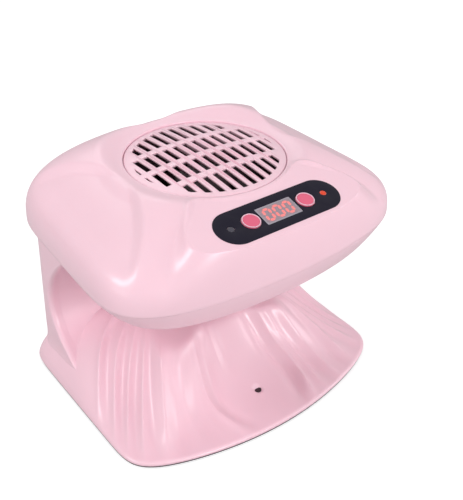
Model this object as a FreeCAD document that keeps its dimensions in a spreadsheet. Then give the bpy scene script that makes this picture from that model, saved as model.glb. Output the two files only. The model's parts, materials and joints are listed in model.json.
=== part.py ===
"""Nail polish fan dryer, in millimetres.

A pillow-shaped head holds an axial fan, a heater and the controls. A hollow column carries it
over a draped hand rest, and the air leaves through a grille in the underside of the head.
+Z is up, +X is the right-hand side, the front faces -Y. The origin is the centre of the
bottom of the whole part, on the surface it stands on.
"""
import FreeCAD, Part
import Sketcher
import math
import os
import re

from FreeCAD import Placement, Rotation, Vector

DOC = FreeCAD.newDocument("nail_dryer")


# --------------------------------------------------------------------------- driving sizes
SIZES = [
    # the whole part
    ("overall_width", 185.0, "widest rim of the head, left to right"),
    ("overall_depth", 155.0, "front to back"),
    ("overall_height", 145.0, "floor to the top of the head"),
    ("crown_rise", 12.1, "crown that the dome would have over the inlet, above the real top"),
    ("fit_gap", 0.3, "clearance between a loose piece and its seat"),
    ("pilot_gap", 0.05, "clearance of a screw in its pilot hole"),
    # head casing
    ("head_wall", 2.4, "wall of both head shells"),
    ("head_sharpness", 6.0, "exponent that sets how tight the four corners are"),
    ("head_bow_front", 13.0, "how far the front edge bows out"),
    ("head_bow_rear", 10.0, "how far the rear edge bows out"),
    ("head_taper", 0.043, "share by which the front is wider and the rear narrower"),
    ("seam_height", "=overall_height - 39", "parting line at the widest rim"),
    ("seam_gap", 0.2, "half of the parting groove"),
    ("underside_height", "=seam_height - 15", "underside of the head"),
    ("floor_thickness", 2.5, "floor of the lower head shell"),
    ("underside_share_x", 0.878, "width of the underside against the rim"),
    ("underside_share_y", 0.953, "depth of the underside against the rim"),
    ("underside_shift", 2.8, "how far back the underside sits"),
    ("side_fall", 0.99, "exponent of the dome over the sides"),
    ("front_fall", 8.0, "exponent of the dome over the front"),
    ("dome_round", 2.77, "exponent that rounds the dome into the rim at the sides"),
    ("front_round", 3.17, "exponent that rounds the dome into the rim at the front"),
    ("under_round", 1.12, "exponent that rounds the rim into the underside"),
    ("dome_tilt", 0.088, "slope of the dome towards the front"),
    ("petal_depth", 2.6, "how far the side and rear panels are sunk"),
    ("petal_edge", 8.0, "width of the step round a sunken panel"),
    ("pocket_spread", 46.5, "degrees to each side that the flat front area reaches"),
    ("pocket_edge", 5.0, "width of the step round the flat front area"),
    ("lip_height", "=overall_height - 4.7", "edge of the inlet well at its sides"),
    ("lip_slope", 0.5, "how much higher the edge of the well is at the rear"),
    ("lip_width", 15.0, "how far from the well the dome takes its own shape"),
    # air inlet
    ("inlet_y", 0.4, "centre of the inlet and of the fan"),
    ("well_radius", 44.5, "round opening in the top of the head"),
    ("grille_top", "=overall_height - 2.6", "middle of the domed inlet grille"),
    ("grille_dome", 345.0, "radius of the inlet grille's dome"),
    ("grille_thickness", 1.6, "inlet grille"),
    ("grille_rim", 2.6, "flat rim under the edge of the inlet grille"),
    ("grille_seat", "=grille_top - 4.8", "underside of that rim"),
    ("slot_field_radius", 40.3, "circle that the slots fill"),
    ("slot_width", 3.4, "one slot, left to right"),
    ("slot_bar", 4.2, "crossbar between two rows of slots"),
    ("slot_pitch_x", 6.24, "slot to slot, left to right"),
    ("slot_pitch_y", 18.65, "row to row"),
    ("slot_columns", 14, "slots in the widest row"),
    ("seat_lap", 2.4, "width of the ledge under the grille"),
    ("seat_thickness", 2.0, "thickness of that ledge"),
    # control panel
    ("panel_length", 76.9, "dark oval panel, left to right"),
    ("panel_width", 22.5, "dark oval panel, front to back"),
    ("panel_y", "=16 - overall_depth / 2", "centre of the panel's face"),
    ("panel_z", "=overall_height - 10", "centre of the panel's face"),
    ("panel_tilt", 13.9, "degrees that the panel leans towards the user"),
    ("panel_proud", 0.3, "how far the panel stands above the casing"),
    ("panel_thickness", 1.5, "panel"),
    ("panel_bed", 2.6, "depth of the flat bed under the panel face"),
    ("window_length", 22.1, "display window, left to right"),
    ("window_width", 11.8, "display window, front to back"),
    ("window_thickness", 0.75, "display window"),
    ("button_x", 17.5, "button centre from the middle"),
    ("button_radius", 4.9, "button cap"),
    ("button_proud", 1.0, "cap above the casing"),
    ("button_flange", 6.2, "radius of the flange that traps the button"),
    ("button_flange_height", 0.6, "thickness of that flange"),
    ("button_travel", 0.6, "how far a button goes down"),
    ("led_x", 29.8, "indicator centre from the middle"),
    ("led_radius", 1.75, "indicator"),
    ("board_depth", 7.4, "component side of the control board below the panel face"),
    ("board_thickness", 1.6, "printed boards"),
    ("control_board_length", 80.0, "control board, left to right"),
    ("control_board_width", 20.0, "control board, front to back"),
    ("board_post_x", 36.5, "control board post from the middle"),
    ("board_post_radius", 2.6, "control board post"),
    ("digit_height", 7.6, "one numeral"),
    ("digit_width", 4.4, "one numeral"),
    ("digit_pitch", 6.3, "numeral to numeral"),
    ("segment_width", 1.0, "one bar of a numeral"),
    ("segment_thickness", 0.25, "one bar of a numeral"),
    # fan
    ("fan_size", 80.0, "square fan frame"),
    ("fan_height", 20.0, "fan frame"),
    ("fan_base", "=underside_height + 20.3", "underside of the fan frame"),
    ("fan_bore", 38.5, "radius of the air passage"),
    ("fan_hole_offset", 35.75, "fixing hole from the fan axis"),
    ("fan_hole_radius", 2.1, "fixing hole"),
    ("fan_plate", 2.0, "motor plate and its arms"),
    ("fan_arm_width", 4.0, "one arm of the motor plate"),
    ("hub_radius", 17.0, "rotor hub"),
    ("hub_height", 14.0, "rotor hub"),
    ("hub_wall", 1.5, "rotor hub"),
    ("blade_tip", 37.5, "radius at the blade tips"),
    ("blade_chord", 15.0, "blade, leading to trailing edge"),
    ("blade_thickness", 1.4, "blade"),
    ("blade_pitch", 38.0, "degrees that a blade is set at"),
    ("blade_count", 7, "blades"),
    ("stator_radius", 13.0, "motor windings"),
    ("stator_height", 8.0, "motor windings"),
    ("tube_radius", 5.0, "bearing tube, outside"),
    ("bearing_radius", 3.6, "bearing, outside"),
    ("bearing_height", 3.0, "bearing"),
    ("shaft_radius", 1.5, "fan shaft"),
    ("shaft_running_gap", 0.04, "radial clearance of the shaft in its bearings"),
    # heater and air outlet
    ("duct_wall", 2.0, "heater duct"),
    ("duct_size", 82.0, "heater duct, outside"),
    ("post_radius", 3.6, "corner post of the duct"),
    ("outlet_radius", 35.0, "outlet grille"),
    ("outlet_flange", 38.0, "flange of the outlet grille"),
    ("outlet_flange_height", 1.5, "flange of the outlet grille"),
    ("outlet_slot_pitch", 6.0, "slot to slot"),
    ("outlet_slot_width", 3.0, "one slot of the outlet grille"),
    ("mica_thickness", 1.2, "insulating cross that carries the heater wire"),
    ("mica_height", 12.0, "insulating cross"),
    ("coil_step", 8.0, "ring to ring of the heater wire"),
    ("coil_radius", 1.3, "wound heater wire"),
    ("coil_count", 3, "rings of heater wire"),
    # base and column
    ("base_width", "=overall_width - 6", "foot of the hand rest, left to right"),
    ("base_rear", "=overall_depth / 2 - 3.5", "rear edge of the base"),
    ("base_bow_front", 20.5, "how far the front edge bows out"),
    ("base_bow_rear", 6.0, "how far the rear edge bows out"),
    ("base_sharpness", 11.0, "exponent that sets how tight the base corners are"),
    ("base_taper", 0.006, "share by which the front of the base is wider"),
    ("base_wall", 2.5, "wall of the base shell"),
    ("base_bottom", 2.0, "lower edge of the base shell"),
    ("edge_height", 4.5, "hand rest at its outer edge"),
    ("rest_height", 36.7, "top of the hand rest"),
    ("rest_centre_y", 15.0, "middle of the hand rest"),
    ("shoulder_height", 13.0, "how far the sides of the hand rest stand up"),
    ("fold_origin_y", 60.0, "point from which the folds fan out"),
    ("fold_depth", 1.3, "depth of the folds in the hand rest"),
    ("column_width", "=base_width - 18", "column, left to right"),
    ("column_rear", "=base_rear - 3", "rear face of the column"),
    ("column_corner", 22.0, "rear corners of the column"),
    ("bay_rear", "=column_rear - 25.3", "deepest place of the column's hollow front"),
    ("bay_deep_z", "=underside_height - 39", "height of that place"),
    ("bay_top_reach", 26.4, "how far the column's front comes forward up to the head"),
    ("bay_foot_reach", 26.7, "how far the column's front comes forward down to the hand rest"),
    ("bay_foot_span", 35.0, "height over which it does so"),
    # base fittings
    ("plate_bottom", 1.2, "underside of the bottom plate"),
    ("plate_top", 3.0, "upper face of the bottom plate"),
    ("plate_inset", 1.0, "bottom plate behind the outer edge"),
    ("foot_x", 62.0, "foot from the middle"),
    ("foot_front_y", -38.0, "front feet"),
    ("foot_rear_y", 56.0, "rear feet"),
    ("foot_radius", 7.0, "rubber foot"),
    ("base_head_sink", 1.0, "how far the heads of the base screws are sunk"),
    ("foot_recess", 0.8, "how deep a foot sits in the plate"),
    ("sensor_y", "=26.6 - overall_depth / 2", "hand sensor"),
    ("sensor_radius", 2.2, "hand sensor window"),
    # rear cover and mains inlet
    ("cover_length", 110.0, "rear cover, left to right"),
    ("cover_height", 58.0, "rear cover"),
    ("cover_z", "=inlet_socket_z + 16", "middle of the rear cover"),
    ("cover_corner", 6.0, "corners of the rear cover"),
    ("inlet_socket_x", -28.0, "mains socket from the middle"),
    ("inlet_socket_z", 30.0, "mains socket height"),
    ("socket_length", 25.0, "mains socket body"),
    ("socket_height", 14.0, "mains socket body"),
    ("socket_depth", 16.0, "mains socket body"),
    ("socket_mouth_length", 18.6, "opening for the plug"),
    ("socket_mouth_height", 8.6, "opening for the plug"),
    ("socket_mouth_depth", 12.0, "opening for the plug"),
    ("pin_radius", 1.2, "contact pin"),
    ("pin_pitch", 8.6, "contact pin to contact pin"),
    ("power_board_length", 84.0, "power board"),
    ("power_board_height", 30.0, "power board"),
    ("power_board_z", "=inlet_socket_z + 26", "middle of the power board"),
    ("standoff_height", 3.0, "power board from the bay wall"),
    # fixings
    ("screw_radius", 1.5, "screw thread"),
    ("screw_head_radius", 2.8, "screw head"),
    ("screw_head_height", 1.6, "screw head"),
    ("boss_radius", 4.5, "screw boss"),
    ("loom_radius", 2.2, "bundle of wires"),
    ("loom_bend", 8.0, "bend of the bundle of wires"),
]

SHEET = DOC.addObject("Spreadsheet::Sheet", "sizes")
for row, (alias, value, meaning) in enumerate(SIZES, 1):
    SHEET.set(f"A{row}", alias)
    SHEET.set(f"B{row}", str(value))
    SHEET.setAlias(f"B{row}", alias)
    SHEET.set(f"C{row}", meaning)
DOC.recompute()
NAMES = {alias for alias, value, meaning in SIZES}


class Measures:
    """The sheet's values, read back as attributes."""

    def __getattr__(self, alias):
        return float(SHEET.get(alias))

MM = Measures()
PARTS = {}


# --------------------------------------------------------------------------- small helpers
def link(text):
    """An expression in which every word that names a size points at the sheet."""
    return re.sub(r"[a-z][a-z0-9_]*", lambda m: "sizes." + m.group(0) if m.group(0) in NAMES else m.group(0), text)


def bind(item, **expressions):
    """Ties properties of an object to the sheet. A double underscore stands for a dot."""
    for name, text in expressions.items():
        item.setExpression(name.replace("__", "."), link(str(text)))
    return item


def place(item, x="0", y="0", z="0"):
    """Ties an object's position to the sheet."""
    return bind(item, Placement__Base__x=x, Placement__Base__y=y, Placement__Base__z=z)


def block(name, length, width, height, x="0", y="0", z="0"):
    """A box centred on x and y that stands on z."""
    item = DOC.addObject("Part::Box", name)
    bind(item, Length=length, Width=width, Height=height)
    return place(item, f"({x}) - ({length}) / 2", f"({y}) - ({width}) / 2", z)


def rod(name, radius, height, x="0", y="0", z="0"):
    """An upright cylinder that stands on z."""
    item = DOC.addObject("Part::Cylinder", name)
    bind(item, Radius=radius, Height=height)
    return place(item, x, y, z)


def rod_along_y(name, radius, length, x, y, z):
    """A cylinder that starts at y and runs towards the rear."""
    item = DOC.addObject("Part::Cylinder", name)
    bind(item, Radius=radius, Height=length)
    item.Placement.Rotation = Rotation(Vector(1, 0, 0), -90)
    return place(item, x, y, z)


def fuse(name, items):
    """Several solids joined into one."""
    item = DOC.addObject("Part::MultiFuse", name)
    item.Shapes = items
    return item


def cut(name, base, tools):
    """A solid with one or more tools taken out of it."""
    tool = tools[0] if len(tools) == 1 else fuse(name + "_tools", tools)
    item = DOC.addObject("Part::Cut", name)
    item.Base = base
    item.Tool = tool
    return item


def group(name, items):
    """Separate solids that share one node."""
    item = DOC.addObject("Part::Compound", name)
    item.Links = items
    return item


def shaped(name, shape):
    """A document object that holds a worked-out shape."""
    item = DOC.addObject("Part::Feature", name)
    item.Shape = shape
    return item


def keep(node, item):
    """Names an object as one piece of the part."""
    item.Label = node
    PARTS[node] = item
    return item


def on_panel(item):
    """Sets an object that was built round the panel's face onto the tilted panel."""
    item.Placement.Rotation = Rotation(Vector(1, 0, 0), MM.panel_tilt)
    return bind(item, Placement__Base__y="panel_y", Placement__Base__z="panel_z",
                Placement__Rotation__Angle="panel_tilt")


def smooth(value, low, high):
    """Rises from 0 at low to 1 at high with no corner."""
    share = min(1.0, max(0.0, (value - low) / (high - low)))
    return share * share * (3.0 - 2.0 * share)


# --------------------------------------------------------------------------- plan outlines
class Outline:
    """A rounded four-sided plan: a superellipse whose front and rear edges bow outwards."""

    def __init__(self, width, front, rear, bow_front, bow_rear, sharpness, taper):
        self.bow_front, self.bow_rear = bow_front, bow_rear
        self.sharpness, self.taper = sharpness, taper
        self.half_depth = (rear - front - bow_front - bow_rear) / 2.0
        self.centre_y = rear - bow_rear - self.half_depth
        self.half_width = 1.0
        steps = [math.radians(degree) for degree in range(-90, 91)]
        self.half_width = width / 2.0 / max(self.point(angle)[0] for angle in steps)

    def point(self, angle, inset=0.0):
        """The plan point in one direction, moved inwards by inset."""
        across, along = math.cos(angle), math.sin(angle)
        size = (abs(across) ** self.sharpness + abs(along) ** self.sharpness) ** (-1.0 / self.sharpness)
        across, along = across * size, along * size
        bow = 1.0 - across * across
        x = (self.half_width - inset) * across * (1.0 - self.taper * along)
        y = self.centre_y + (self.half_depth - inset) * along
        y -= self.bow_front * bow * ((1.0 - along) / 2.0) ** 2
        y += self.bow_rear * bow * ((1.0 + along) / 2.0) ** 2
        return x, y

    def even_angles(self, count):
        """Directions, starting at the rear, that divide the outline into equal lengths."""
        fine = [math.pi / 2 + math.tau * step / 1440 for step in range(1441)]
        points = [self.point(angle) for angle in fine]
        lengths = [0.0]
        for here, there in zip(points, points[1:]):
            lengths.append(lengths[-1] + math.dist(here, there))
        angles, place_in = [], 0
        for step in range(count):
            target = lengths[-1] * step / count
            while lengths[place_in + 1] < target:
                place_in += 1
            rest = (target - lengths[place_in]) / (lengths[place_in + 1] - lengths[place_in])
            angles.append(fine[place_in] + rest * (fine[1] - fine[0]))
        return angles

HEAD = Outline(MM.overall_width, -MM.overall_depth / 2, MM.overall_depth / 2,
               MM.head_bow_front, MM.head_bow_rear, MM.head_sharpness, MM.head_taper)
BASE = Outline(MM.base_width, -MM.overall_depth / 2, MM.base_rear,
               MM.base_bow_front, MM.base_bow_rear, MM.base_sharpness, MM.base_taper)
HEAD_STEPS = 120
HEAD_ROWS = 28
HEAD_ANGLES = HEAD.even_angles(HEAD_STEPS)


def ring_of(points):
    """A closed smooth wire through the points."""
    curve = Part.BSplineCurve()
    curve.interpolate(Points=points, PeriodicFlag=True)
    return Part.Wire([curve.toShape()])


def prism(outline, inset, low, high):
    """An upright solid with the outline as its plan."""
    points = [Vector(*outline.point(angle, inset), low) for angle in outline.even_angles(HEAD_STEPS)]
    return Part.Face(ring_of(points)).extrude(Vector(0, 0, high - low))


def poles_through(row):
    """Poles of the closed cubic curve that passes through the points of a row."""
    poles, count = list(row), len(row)
    for _ in range(24):
        poles = [poles[i] + row[i] - (poles[i - 1] + poles[i] * 4 + poles[(i + 1) % count]) * (1 / 6)
                 for i in range(count)]
    return poles


def closed_body(rows):
    """A solid skinned over closed rows of points, with flat ends."""
    across, along = len(rows), len(rows[0])
    surface = Part.BSplineSurface()
    surface.buildFromPolesMultsKnots([poles_through(row) for row in rows],
                                     [4] + [1] * (across - 4) + [4], [1] * (along + 1),
                                     list(range(across - 2)), list(range(along + 1)), False, True, 3, 3)
    side = surface.toShape()
    ends = [Part.Face(Part.Wire([edge])) for edge in side.Edges if edge.isClosed()]
    skin = Part.Compound([side] + ends)
    skin.sewShape(0.001)
    return Part.makeSolid(skin.Shells[0])


# --------------------------------------------------------------------------- head casing
def petal_relief(x, y, share):
    """How far the top is sunk at a point: three panels between ridges that run to the corners."""
    radius = math.hypot(x, y - MM.inlet_y)
    heading = math.degrees(math.atan2(y - MM.inlet_y, abs(x)))
    spread = 36.0 * (1.0 - math.exp(-max(0.0, radius - MM.well_radius - 2.0) / 14.0))
    side = radius * math.radians(spread - abs(heading))
    rear = radius * math.radians(spread - abs(heading - 90.0))
    sunk = smooth(max(side, rear), -1.0, MM.petal_edge)
    faded = smooth(radius - MM.well_radius, 2.0, 16.0) * (1.0 - smooth(share, 0.84, 0.99))
    return MM.petal_depth * sunk * faded


def panel_plane(y):
    """Height of the flat area round the control panel."""
    return MM.panel_z + math.tan(math.radians(MM.panel_tilt)) * (y - MM.panel_y)


def pocket_share(x, y):
    """1 inside the flat area in front of the inlet, 0 beside it, with a soft step between."""
    aside = math.degrees(math.atan2(abs(x), MM.inlet_y - y))
    inside = math.hypot(x, y - MM.inlet_y) * math.radians(MM.pocket_spread - aside)
    return smooth(inside, 0.0, MM.pocket_edge)


def head_top_point(angle, turn, wall):
    """A point of the dome: turn is 0 at the inlet and 1 at the rim."""
    rim_x, rim_y = HEAD.point(angle, wall)
    reach = math.hypot(rim_x, rim_y - MM.inlet_y)
    start = (MM.well_radius - 4.0) / reach
    front = smooth(-math.sin(angle), 0.78, 0.985)
    fall = MM.side_fall + (MM.front_fall - MM.side_fall) * front
    first = math.asin(start ** (fall / 2.0))
    lean = first + (math.pi / 2 - first) * turn
    share = math.sin(lean) ** (2.0 / fall)
    x = rim_x * share
    y = MM.inlet_y + (rim_y - MM.inlet_y) * share
    rise = MM.overall_height + MM.crown_rise - wall - MM.seam_height + MM.dome_tilt * y
    bend = MM.dome_round + (MM.front_round - MM.dome_round) * front
    z = MM.seam_height + rise * abs(math.cos(lean)) ** (2.0 / bend)
    z -= petal_relief(x, y, share)
    away = math.hypot(x, y - MM.inlet_y) - MM.well_radius
    own = smooth(away, 0.5, MM.lip_width + 0.5)
    lip = MM.lip_height + MM.lip_slope * (y - MM.inlet_y) / MM.well_radius - wall
    z = lip * (1.0 - own) + z * own
    flat = panel_plane(y) - wall + 1.0 - smooth(away, 0.5, 4.8)
    z -= pocket_share(x, y) * smooth(away, -3.5, -0.5) * max(0.0, z - flat)
    return Vector(x, y, z)


def head_top_rows(wall):
    """Rows of points from the inlet out to the rim."""
    turns = [step / (HEAD_ROWS - 1) for step in range(HEAD_ROWS)]
    return [[head_top_point(angle, turn, wall) for angle in HEAD_ANGLES] for turn in turns]


def head_low_rows(wall, floor):
    """Rows of points from the rim down to the underside."""
    rows = []
    for drop in (0.0, 0.15, 0.3, 0.45, 0.6, 0.75, 0.88, 0.96, 1.0):
        open_share = (1.0 - drop ** MM.under_round) ** (1.0 / MM.under_round)
        share_x = MM.underside_share_x + (1.0 - MM.underside_share_x) * open_share
        share_y = MM.underside_share_y + (1.0 - MM.underside_share_y) * open_share
        z = MM.seam_height + (MM.underside_height + floor - MM.seam_height) * drop
        row = []
        for angle in HEAD_ANGLES:
            x, y = HEAD.point(angle, wall)
            y = HEAD.centre_y + (y - HEAD.centre_y) * share_y + MM.underside_shift * (1.0 - open_share)
            row.append(Vector(x * share_x, y, z))
        rows.append(row)
    return rows


def upright(radius, low, high, x, y):
    """A plain upright cylinder."""
    return Part.makeCylinder(radius, high - low, Vector(x, y, low))


def corners(x, front_y, rear_y):
    """Four mirrored places."""
    return [(-x, front_y), (x, front_y), (-x, rear_y), (x, rear_y)]

HEAD_SCREWS = corners(66.0, -40.0, 34.0)
LOOM_PLACE = (14.0, 57.0)
COLUMN_SCREWS = [(side * 42.0, MM.column_rear - 5.0) for side in (-1, 1)]
COLUMN_SCREWS += [(side * (MM.column_width / 2 - 6.0), MM.column_rear - 27.0) for side in (-1, 1)]


def tilted(shape):
    """A shape built round the panel's face, set onto the tilted panel."""
    shape.Placement = Placement(Vector(0, MM.panel_y, MM.panel_z),
                                Rotation(Vector(1, 0, 0), MM.panel_tilt))
    return shape


def oval(length, width, low, high):
    """A flat oval with round ends, built round the panel's face."""
    straight = length - width
    body = Part.makeBox(straight, width, high - low, Vector(-straight / 2, -width / 2, low))
    for side in (-1, 1):
        body = body.fuse(Part.makeCylinder(width / 2, high - low, Vector(side * straight / 2, 0, low)))
    return body


def control_holes(gap, low, high):
    """The openings for the window, the buttons and the indicators."""
    length, width = MM.window_length + 2 * gap, MM.window_width + 2 * gap
    shapes = [Part.makeBox(length, width, high - low, Vector(-length / 2, -width / 2, low))]
    for side in (-1, 1):
        shapes.append(upright(MM.button_radius + gap, low, high, side * MM.button_x, 0))
        shapes.append(upright(MM.led_radius + gap, low, high, side * MM.led_x, 0))
    return shapes


def make_head_top():
    """The dome with its inlet well, its flat panel bed, screw posts and board posts."""
    outer = closed_body(head_top_rows(0.0))
    inner = closed_body(head_top_rows(MM.head_wall))
    posts = [upright(MM.boss_radius, MM.seam_height + MM.seam_gap, MM.overall_height, x, y)
             for x, y in HEAD_SCREWS]
    shell = outer.cut(inner.cut(Part.Compound(posts)))
    base_cut = Part.makeBox(300, 300, MM.seam_gap * 2, Vector(-150, -150, MM.seam_height - MM.seam_gap))
    shell = shell.cut(base_cut)
    shell = shell.cut(upright(MM.well_radius, MM.seam_height, MM.overall_height + 5, 0, MM.inlet_y))
    seat_top = MM.grille_seat
    ledge = upright(MM.well_radius + MM.head_wall, seat_top - MM.seat_thickness, MM.overall_height, 0, MM.inlet_y)
    ledge = ledge.cut(upright(MM.well_radius, seat_top, MM.overall_height, 0, MM.inlet_y))
    ledge = ledge.cut(upright(MM.well_radius - MM.seat_lap, 0, MM.overall_height, 0, MM.inlet_y))
    shell = shell.fuse(ledge.common(outer))
    bed_length, bed_width = MM.panel_length + 4, MM.panel_width + 1
    bed = tilted(oval(bed_length, bed_width, -MM.panel_bed, -MM.panel_thickness + MM.panel_proud))
    shell = shell.fuse(bed.common(outer))
    shell = shell.cut(tilted(oval(MM.panel_length + MM.fit_gap, MM.panel_width + MM.fit_gap,
                                  -MM.panel_thickness + MM.panel_proud, 12.0)))
    room = Part.makeBox(bed_length, MM.control_board_width + 0.6, 9.0,
                        Vector(-bed_length / 2, -MM.control_board_width / 2 - 0.3, -MM.panel_bed - 9.0))
    shell = shell.cut(tilted(room))
    for side in (-1, 1):
        post = upright(MM.board_post_radius, -MM.board_depth, -MM.panel_bed + 0.5, side * MM.board_post_x, 0)
        shell = shell.fuse(tilted(post))
        hole = upright(MM.screw_radius + MM.pilot_gap, -MM.board_depth - 1, -MM.panel_bed - 0.4,
                       side * MM.board_post_x, 0)
        shell = shell.cut(tilted(hole))
    for hole in control_holes(MM.fit_gap, -MM.board_depth + 0.1, 12.0):
        shell = shell.cut(tilted(hole))
    for x, y in HEAD_SCREWS:
        shell = shell.cut(upright(MM.screw_radius + MM.pilot_gap, MM.seam_height - 1, MM.seam_height + 8, x, y))
    return shell


def make_head_low():
    """The lower half: rounded underside, floor with the air outlet, screw tubes."""
    outer = closed_body(head_low_rows(0.0, 0.0))
    inner = closed_body(head_low_rows(MM.head_wall, MM.floor_thickness))
    tubes = [upright(MM.boss_radius, MM.underside_height, MM.seam_height - MM.seam_gap, x, y)
             for x, y in HEAD_SCREWS]
    shell = outer.cut(inner.cut(Part.Compound(tubes)))
    shell = shell.cut(Part.makeBox(300, 300, 5, Vector(-150, -150, MM.seam_height - MM.seam_gap)))
    holes = [upright(MM.outlet_radius + MM.fit_gap, 0, MM.seam_height, 0, MM.inlet_y)]
    for x, y in HEAD_SCREWS:
        holes.append(upright(MM.screw_radius + MM.pilot_gap, 0, 200, x, y))
        holes.append(upright(MM.screw_head_radius + MM.fit_gap, 0,
                             MM.underside_height + MM.screw_head_height + MM.fit_gap, x, y))
    seat = MM.underside_height + MM.floor_thickness
    for x, y in COLUMN_SCREWS:
        holes.append(upright(MM.screw_radius + MM.pilot_gap, 0, MM.overall_height, x, y))
        holes.append(upright(MM.screw_head_radius + MM.fit_gap, seat, MM.overall_height, x, y))
    holes.append(upright(MM.loom_radius + 1.0, 0, MM.seam_height, *LOOM_PLACE))
    return shell.cut(Part.Compound(holes))


# --------------------------------------------------------------------------- base and column
FOLDS = [
    # degrees from straight ahead, strength, width in degrees
    (13.5, 1.0, 1.5), (18.0, 0.55, 1.4), (22.5, 0.65, 1.5), (29.5, 1.0, 1.9),
    (37.5, 0.8, 1.5), (41.5, 0.75, 1.4), (46.5, 0.9, 1.7), (53.5, 1.0, 1.9),
]


def base_reach(heading):
    """Distance from the middle of the hand rest to its edge in one direction."""
    low, high = 0.0, 200.0
    for _ in range(40):
        reach = (low + high) / 2
        x, y = reach * math.cos(heading), MM.rest_centre_y + reach * math.sin(heading)
        low, high = (reach, high) if inside_base(x, y) else (low, reach)
    return low


def inside_base(x, y):
    """Whether a plan point lies inside the foot of the base."""
    along = (y - BASE.centre_y) / BASE.half_depth
    for _ in range(6):
        across = x / BASE.half_width / (1.0 - BASE.taper * along)
        bow = max(0.0, 1.0 - across * across)
        shift = BASE.bow_rear * bow * ((1 + along) / 2) ** 2 - BASE.bow_front * bow * ((1 - along) / 2) ** 2
        along = (y - BASE.centre_y - shift) / BASE.half_depth
        along = max(-1.3, min(1.3, along))
    return abs(across) ** BASE.sharpness + abs(along) ** BASE.sharpness < 1.0


REACHES = [base_reach(math.radians(degree)) for degree in range(-180, 181)]


def fold_relief(x, y, share):
    """Height of the folds, which fan out from a point at the rear like gathered cloth."""
    turn = math.degrees(math.atan2(abs(x), MM.fold_origin_y - y))
    height = sum(strength * math.exp(-((turn - middle) / width) ** 2) for middle, strength, width in FOLDS)
    return MM.fold_depth * height * smooth(share, 0.2, 0.5) * (1.0 - smooth(share, 0.8, 1.0))


def rest_height_at(x, y):
    """Height of the hand rest: a flat top, a flared skirt in front and firmer sides."""
    heading = math.degrees(math.atan2(y - MM.rest_centre_y, x))
    step = min(359, int(heading + 180.0))
    part = heading + 180.0 - step
    reach = REACHES[step] * (1.0 - part) + REACHES[step + 1] * part
    share = min(math.hypot(x, y - MM.rest_centre_y) / reach, 1.15)
    ahead = -math.sin(math.radians(heading))
    power = 1.0 + smooth(ahead, 0.0, 0.65) + smooth(ahead, 0.7, 0.93)
    flat = 0.56 - 0.06 * smooth(ahead, -0.15, 0.5) - 0.165 * smooth(ahead, 0.7, 0.93)
    shoulder = 0.5 + (MM.shoulder_height - 0.5) * (1.0 - smooth(ahead, -0.1, 0.65))
    skirt = (max(0.0, 1.0 - share) / (1.0 - flat)) ** power
    z = MM.edge_height + shoulder * (1.0 - share ** 12)
    z += (MM.rest_height - MM.edge_height - shoulder) * skirt + fold_relief(x, y, share)
    soft = 2.0
    z = -soft * math.log(math.exp(-min(z, 90.0) / soft) + math.exp(-MM.rest_height / soft))
    return max(z, MM.edge_height - 1.5)


def above_rest(drop):
    """Everything above the hand rest, lowered by drop."""
    across, along, margin = 61, 55, 12.0
    rows = []
    for i in range(across):
        x = (BASE.half_width + margin) * (2.0 * i / (across - 1) - 1.0)
        row = []
        for j in range(along):
            y = -MM.overall_depth / 2 - margin + (MM.base_rear + MM.overall_depth / 2 + 2 * margin) * j / (along - 1)
            row.append(Vector(x, y, rest_height_at(x, y) - drop))
        rows.append(row)
    surface = Part.BSplineSurface()
    surface.interpolate(rows)
    return surface.toShape().extrude(Vector(0, 0, MM.underside_height + 40.0))


def rounded_bar(half_width, front, rear, radius, low, high):
    """An upright block whose two rear corners are round."""
    block_shape = Part.makeBox(2 * half_width, rear - front, high - low, Vector(-half_width, front, low))
    edges = [edge for edge in block_shape.Edges
             if len(edge.Vertexes) == 2 and abs(edge.Vertexes[0].X - edge.Vertexes[1].X) < 0.01
             and abs(edge.Vertexes[0].Y - rear) < 0.01 and abs(edge.Vertexes[1].Y - rear) < 0.01]
    return block_shape.makeFillet(radius, edges)


SIDE_SCREW_X = MM.column_width / 2 - MM.base_wall - 1.5
BASE_SCREWS = [(-60.0, -24.0), (60.0, -24.0)] + [(side * SIDE_SCREW_X, MM.column_rear - 19.0) for side in (-1, 1)]
COVER_SCREWS = [(x, z) for x in (-48.0, 48.0) for z in (MM.cover_z - 8, MM.cover_z + 22)]
BOARD_POSTS = [(x, z) for x in (-36.0, 36.0) for z in (MM.power_board_z - 10, MM.power_board_z + 10)]


def column_front(z):
    """How far back the column's hollow front lies at a height."""
    above, below = max(0.0, z - MM.bay_deep_z), max(0.0, MM.bay_deep_z - z)
    span = MM.underside_height - MM.bay_deep_z
    forward = MM.bay_top_reach * (above / span) ** 1.86 + MM.bay_foot_reach * (below / MM.bay_foot_span) ** 2.3
    return MM.bay_rear - forward


def hand_bay(back):
    """What is taken away in front of the column, moved to the rear by back."""
    steps = 14
    low, high = 2.0, MM.underside_height + 14.0
    heights = [low + (high - low) * step / steps for step in range(steps + 1)]
    half = MM.column_width / 2 + 20
    curve = Part.BSplineCurve()
    curve.interpolate([Vector(-half, column_front(z) + back, z) for z in heights])
    start, end = curve.StartPoint, curve.EndPoint
    corner_high, corner_low = Vector(-half, -200, high), Vector(-half, -200, low)
    outline = Part.Wire([curve.toShape(), Part.LineSegment(end, corner_high).toShape(),
                         Part.LineSegment(corner_high, corner_low).toShape(),
                         Part.LineSegment(corner_low, start).toShape()])
    return Part.Face(outline).extrude(Vector(2 * half, 0, 0))


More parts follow.
